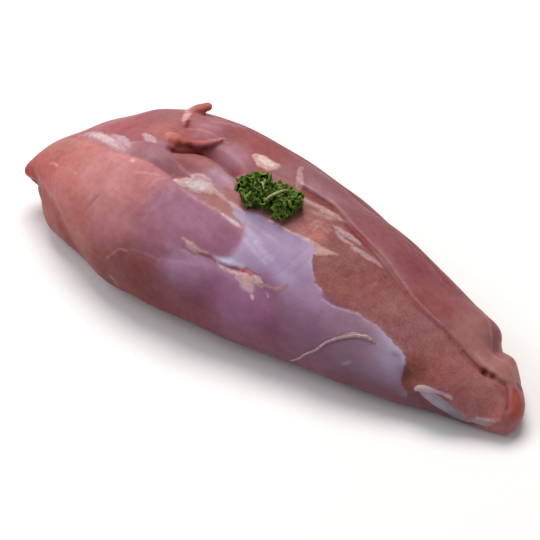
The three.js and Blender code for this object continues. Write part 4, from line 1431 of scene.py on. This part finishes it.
def raw_veal():
    """Raw meat under a film of water: soft and deep in colour, with a weak broken shine."""
    material, tree = empty_material("raw_veal")

    def number(name):
        return add_node(tree, "ShaderNodeAttribute", output="Fac", attribute_name=name)

    def colour_of(name):
        return add_node(tree, "ShaderNodeAttribute", output="Color", attribute_name=name)

    def over(below, above, mask):
        kind, end = ("RGBA", "Color") if below.type == "RGBA" else ("FLOAT", "Float")
        return add_node(tree, "ShaderNodeMix",
                        {"Factor_Float": mask, "A_" + end: below, "B_" + end: above},
                        output="Result_" + end, data_type=kind)

    def both(first, second, how="MULTIPLY"):
        return add_node(tree, "ShaderNodeMath", [first, second], operation=how)

    def frayed(name, softness):
        shift = both(spots(tree, 1.1, None, detail=3.0), 0.5, "SUBTRACT")
        edge = add_node(tree, "ShaderNodeMath", [shift, FRAYING, number(name)],
                        operation="MULTIPLY_ADD")
        return add_node(tree, "ShaderNodeMapRange", [edge, -softness, softness], **SMOOTH)

    lean_colour, lean_height = lean_muscle(tree, colour_of("lean_tint"))
    grains = cut_grain(tree)
    cut_colour = shade(tree, lean_colour, 0.94, 1.07, grains)
    # Painted glints: sparse tiny spots of the cut face are lightened, for the sparkle of wet meat
    cut_colour = shade(tree, cut_colour, 1.0, 1.3, spots(tree, 1.3, (0.62, 0.76)))
    colour = over(lean_colour, cut_colour, number("cut_face"))
    height = over(lean_height, both(grains, 0.1), number("cut_face"))

    film_colour, film_height = silverskin(tree, colour_of("film_tint"))
    film_mask = both(frayed("film_depth", 0.5), number("film_strength"))
    colour = over(colour, film_colour, film_mask)
    height = over(height, film_height, film_mask)

    broad = spots(tree, 3.4, None, detail=3.0)
    bare_colour = shade(tree, colour_of("bare_tint"), 0.8, 1.2, broad)
    colour = over(colour, bare_colour, frayed("bare_depth", 1.5))

    fat_colour, fat_height = fat(tree, colour_of("fat_tint"))
    thin_spots = spots(tree, 3.2, (0.3, 0.55), to=(0.75, 1.0))
    fat_mask = both(frayed("fat_depth", 1.1), thin_spots)
    colour = over(colour, fat_colour, fat_mask)
    height = over(height, fat_height, fat_mask)

    # Pale film edges, folds and flecks, and painted highlights along shines and lit crests,
    # lighten the colour
    broken = spots(tree, 3.4, (0.25, 0.6), to=(0.5, 1.0))
    pale_and_highlight_mask = both(number("pale_and_highlight"), broken)
    paler = add_node(tree, "ShaderNodeHueSaturation",
                     {"Color": colour, "Value": 1.5, "Saturation": 0.72})
    colour = over(colour, paler, pale_and_highlight_mask)
    # Painted shade: deep red in pockets, creases and gaps
    colour = over(colour, linear(SHADE_RED), number("painted_shade"))

    dullness = spots(tree, 7, detail=3.0, to=(0.48, 0.62))
    dullness = over(dullness, 0.4, film_mask)
    dullness = over(dullness, 0.5, fat_mask)
    return finished(material, tree, {
        "Base Color": colour, "Roughness": dullness, "IOR": 1.38, "Specular IOR Level": 0.22,
        "Subsurface Weight": 0.18, "Subsurface Radius": (1.0, 0.35, 0.22),
        "Subsurface Scale": 3 * MM, "Coat Weight": 0.07, "Coat Roughness": 0.22,
        "Coat IOR": 1.33}, relief=height)


veal = bpy.data.objects.new("veal_meat", skin)
bpy.context.scene.collection.objects.link(veal)
for polygon in skin.polygons:
    polygon.use_smooth = True
skin.materials.append(raw_veal())
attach(veal, "root")
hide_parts("veal_shoulder")
print("raw veal uses", len(skin.materials[0].node_tree.nodes), "nodes")

# %% [markdown]
# ## Loose strands
#
# Where film and tendon were cut, thin threads are left lying on the meat. They are round
# tubes that follow paths on the map, laid on the finished skin by dropping each point onto it.

# %% Strands laid on the skin
STRANDS = {
    # name: half width in mm along it, path
    "long thread": ((0.6, 0.8, 0.9, 1.0, 1.3, 1.2), [[55.5, -13], [66.5, 2], [74.5, 12],
        [81.5, 24], [94.5, 37], [104.5, 41]]),
    "side of the long thread": ((0.3, 0.9, 0.8, 0.3), [[88, 33], [94, 38.6], [101, 40],
        [108, 38]]),
    "end of the long thread": ((0.6, 1.5, 1.5, 0.6), [[98, 39.6], [102, 41], [106, 41],
        [109.6, 40]]),
}
STRAND_SIDES = 10
STRAND_STEPS = 40
STANDS_OUT = 0.2  # of its radius: how far a strand's middle is over the skin
ABOVE = 25.0  # how far over the smooth form each drop starts, in mm
skin_tree = BVHTree.FromPolygons((vectors_of(skin, "co") / MM).tolist(),
                                 [list(p.vertices) for p in skin.polygons])


def dropped(share, angle):
    """The point and the outward direction of the finished skin over a map place."""
    outward = smooth_normal(share, angle)
    start = smooth_point(share, angle) + outward * ABOVE
    hit, _, _, _ = skin_tree.ray_cast(start.tolist(), (-outward).tolist())
    return np.array(hit), outward


def strand(widths, places):
    """A thin tube laid on the skin along places of the map."""
    rows = curve_through(np.arange(len(places)), places)(
        np.linspace(0, len(places) - 1, STRAND_STEPS))
    radii = np.interp(np.linspace(0, 1, STRAND_STEPS), np.linspace(0, 1, len(widths)), widths)
    middles = []
    for (x, a), radius in zip(rows, radii):
        hit, outward = dropped(share_at(x), np.array(a))
        middles.append(hit + outward * radius * STANDS_OUT)
    step = np.arange(STRAND_STEPS)
    tapering = ramp(step, -3, 2) * (1 - ramp(step, STRAND_STEPS - 3, STRAND_STEPS + 2))
    return round_bar(np.array(middles), radii * tapering, STRAND_SIDES)


def connective_tissue():
    """Connective tissue, torn: tough and clear when wet, so it looks like cooked glue."""
    material, tree = empty_material("connective_tissue")
    cloudy = spots(tree, 2.2, detail=3.0)
    colour = shade(tree, linear("#a08080"), 0.8, 1.2, cloudy)
    bumps = add_node(tree, "ShaderNodeMath", [cloudy, 0.2], operation="MULTIPLY")
    return finished(material, tree, {
        "Base Color": colour, "Roughness": 0.38, "IOR": 1.38, "Subsurface Weight": 0.25,
        "Subsurface Radius": (1.0, 0.6, 0.45), "Subsurface Scale": 1.5 * MM,
        "Coat Weight": 0.3, "Coat Roughness": 0.2}, relief=bumps)


def place_piece(name, mesh):
    """Puts a finished mesh in the scene, to ride with the meat."""
    piece = bpy.data.objects.new(name, mesh)
    bpy.context.scene.collection.objects.link(piece)
    for polygon in mesh.polygons:
        polygon.use_smooth = True
    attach(piece, "root")
    return piece


strand_mesh = mesh_from("strands", *joined([strand(*one) for one in STRANDS.values()]))
strand_mesh.materials.append(connective_tissue())
place_piece("loose_strands", strand_mesh)
print("strands:", len(strand_mesh.polygons), "faces")

# %% [markdown]
# ## Curly parsley
#
# A leaflet of curly parsley has far more margin than its middle has room for, so the margin
# frills up like a ruff. Each leaflet here is a fan of points whose height swings up and down,
# more and more towards the margin. A hundred and seventy of them stand out from eight tufts,
# and a Solidify modifier gives them the thickness of a leaf.

# %% One frilled leaflet
TUFTS = [
    # place, lift, radius, leaflets
    ([-20, 81.6], 3.6, 7.6, 22),
    ([-12, 77.6], 3.6, 8.0, 24),
    ([-12, 84.6], 5.4, 7.8, 22),
    ([-2.6, 80.4], 4.4, 7.4, 22),
    ([0.6, 87], 4, 6.8, 20),
    ([7.6, 80.4], 4, 8.2, 26),
    ([10, 86], 4.4, 7.8, 24),
    ([-19, 86.4], 3, 5.2, 10),
]
FAN_ROWS = 6
FAN_STEPS = 34
LEAF_THICKNESS = 0.22 * MM
# The least and the most of what differs between leaflets
LEAFLET_REACH = (4.6, 6.2)  # mm
FAN_OPENING = (70, 105)  # degrees to either side
FRILLS = (2.2, 3.2)  # half waves on either side
FRILL_HEIGHT = (1.0, 1.5)  # mm
CUP_DEPTH = (1.6, 2.8)  # mm


def leaflet(draw):
    """A leaflet that starts at the origin and fans out along +X, with +Z its upper side."""
    size = draw.uniform(*LEAFLET_REACH)
    out = np.linspace(0.06, 1, FAN_ROWS)[:, None]
    fan = np.linspace(-1, 1, FAN_STEPS)[None, :]
    opening = math.radians(draw.uniform(*FAN_OPENING))
    lobes = (0.88 + 0.12 * np.cos(3 * np.pi * fan + draw.uniform(-0.5, 0.5))) * np.sqrt(
        1.03 - fan ** 6)
    teeth = 1 + 0.05 * np.sin(FAN_STEPS * 1.1 * fan + draw.uniform(0, 6)) * out ** 3
    frill = draw.uniform(*FRILLS) * np.pi * fan + draw.uniform(0, 6.28)
    height = draw.uniform(*FRILL_HEIGHT) * out ** 1.6 * np.sin(frill)
    sway = 0.2 * out ** 2 * np.cos(frill)
    reach = size * out * lobes * teeth * (1 - 0.12 * np.cos(2 * frill) * out)
    turn = fan * opening + sway
    cup = draw.uniform(*CUP_DEPTH) * np.sin(2.7 * out)
    points = np.stack([reach * np.cos(turn), reach * np.sin(turn), height + cup + 0 * turn], -1)
    return points, np.broadcast_to(out, (FAN_ROWS, FAN_STEPS))


def basis(forward, normal):
    """The three axes of a leaflet as the columns of a matrix."""
    forward = forward / np.linalg.norm(forward)
    side = np.cross(normal, forward)
    side = side / np.linalg.norm(side)
    return np.stack([forward, side, np.cross(forward, side)], 1)


GOLDEN_ANGLE = math.pi * (3 - math.sqrt(5))


def tuft(place, lift, radius, count, draw):
    """The leaflets of one tuft, spread over a dome by the golden angle."""
    share_here = share_at(float(place[0]))
    middle = lifted(share_here, float(place[1]), lift)
    for i in range(count):
        height = 1 - 1.4 * (i + 0.5) / count
        turn = i * GOLDEN_ANGLE + draw.uniform(-0.3, 0.3)
        flat = math.sqrt(max(0.0, 1 - height * height))
        away = np.array([flat * math.cos(turn), flat * math.sin(turn), height])
        lean = np.array([draw.gauss(0, 1) for _ in range(3)])
        lean = lean - (lean @ away) * away
        forward = draw.uniform(0.3, 0.9) * away + lean / np.linalg.norm(lean)
        normal = away + 0.35 * np.array([draw.gauss(0, 1) for _ in range(3)])
        normal = normal - (normal @ forward) * forward / (forward @ forward)
        points, out = leaflet(draw)
        start = (middle + away * radius * draw.uniform(0.62, 0.84)
                 - forward / np.linalg.norm(forward) * draw.uniform(2.0, 3.4))
        yield points @ basis(forward, normal).T + start, out, draw.random()


def parsley_leaves():
    """All the leaflets as one mesh: "out" is 1 at a margin, "tone" differs between leaflets."""
    draw = random.Random(11)
    points, faces, out, tone = [], [], [], []
    grid = np.arange(FAN_ROWS * FAN_STEPS).reshape(FAN_ROWS, FAN_STEPS)
    squares = np.stack([grid[:-1, :-1], grid[1:, :-1], grid[1:, 1:], grid[:-1, 1:]], -1)
    squares = squares.reshape(-1, 4)
    for place, lift, radius, count in TUFTS:
        for leaf, leaf_out, leaf_tone in tuft(place, lift, radius, count, draw):
            faces += (squares + len(points) * grid.size).tolist()
            points.append(leaf.reshape(-1, 3))
            out.append(leaf_out.ravel())
            tone.append(np.full(grid.size, leaf_tone))
    mesh = mesh_from("leaves", np.concatenate(points), faces)
    keep(mesh, "out", np.concatenate(out))
    keep(mesh, "tone", np.concatenate(tone))
    holder = bpy.data.objects.new("leaves", mesh)
    thicken = holder.modifiers.new("thickness", "SOLIDIFY")
    thicken.thickness = LEAF_THICKNESS
    thicken.offset = 0
    return with_modifiers(holder)


leaves = parsley_leaves()
print("parsley:", sum(count for *_, count in TUFTS), "leaflets,", len(leaves.polygons), "faces")

# %% [markdown]
# ## The green of parsley
#
# A leaf is thin living tissue with a waxy skin. Its colour is painted deep green inside the
# curls, as painted shade from its neighbours, and lighter at the margins, as painted light that
# they catch. A little light comes through it. Wax and water make it satin.

# %% Parsley leaf
def parsley_leaf():
    """A waxy, satin leaf, with painted shade inside the curls and painted light on the margins."""
    material, tree = empty_material("parsley_leaf")
    out = add_node(tree, "ShaderNodeAttribute", output="Fac", attribute_name="out")
    tone = add_node(tree, "ShaderNodeAttribute", output="Fac", attribute_name="tone")
    # Painted shade inside the curls, painted light on the margins
    margin = add_node(tree, "ShaderNodeMapRange", [out, 0.6, 1.0], **SMOOTH)
    colour = add_node(tree, "ShaderNodeMix",
                      {"Factor_Float": margin, "A_Color": linear("#263c08"),
                       "B_Color": linear("#6c862a")},
                      output="Result_Color", data_type="RGBA")
    colour = shade(tree, colour, 0.7, 1.3, tone)
    colour = shade(tree, colour, 0.85, 1.15, spots(tree, 1.6))
    veins = add_node(tree, "ShaderNodeMath", [spots(tree, 0.7, (0.35, 0.65)), 0.12],
                     operation="MULTIPLY")
    return finished(material, tree, {
        "Base Color": colour, "Roughness": 0.5, "IOR": 1.42, "Specular IOR Level": 0.25,
        "Subsurface Weight": 0.1, "Subsurface Radius": (0.4, 1.0, 0.2),
        "Subsurface Scale": 0.8 * MM}, relief=veins)


leaves.materials.append(parsley_leaf())
sprig = place_piece("parsley_leaves", leaves)
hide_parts("parsley_sprig")
print("parsley leaf nodes:", len(leaves.materials[0].node_tree.nodes))

# %% [markdown]
# ## The stalks
#
# Thin pale stalks join the tufts and carry the leaflets. Only short lengths of them show
# between the curls.

# %% Stalks
STALKS = [
    # rows of x, angle, lift, radius
    [[-16, 82, 3, 0.7], [-9, 82, 5, 0.8], [-3, 83, 6, 0.9], [3, 84, 6, 0.9], [9, 84, 5, 0.7]],
    [[-12.4, 82.6, 11, 0.5], [-10.6, 81.8, 14.4, 0.8], [-9, 81, 15, 0.8], [-7, 80, 13, 0.5]],
    [[-2, 76.6, 11, 0.5], [-0.6, 78.6, 13.6, 0.9], [2, 81.6, 14.6, 1.0], [4, 84.5, 14, 0.7],
        [5.4, 86, 12, 0.5]],
]


def parsley_stalk():
    """A juicy stem, pale green and satin, with a faintly uneven tone."""
    material, tree = empty_material("parsley_stalk")
    colour = shade(tree, linear("#9c9a66"), 0.8, 1.15, spots(tree, 1.4))
    return finished(material, tree, {
        "Base Color": colour, "Roughness": 0.4, "IOR": 1.4, "Subsurface Weight": 0.2,
        "Subsurface Radius": (0.6, 1.0, 0.3), "Subsurface Scale": 1 * MM})


stalk_mesh = mesh_from("stalks", *joined([bar_over_map(rows) for rows in STALKS]))
stalk_mesh.materials.append(parsley_stalk())
place_piece("parsley_stalks", stalk_mesh)
print("stalks:", len(stalk_mesh.polygons), "faces")
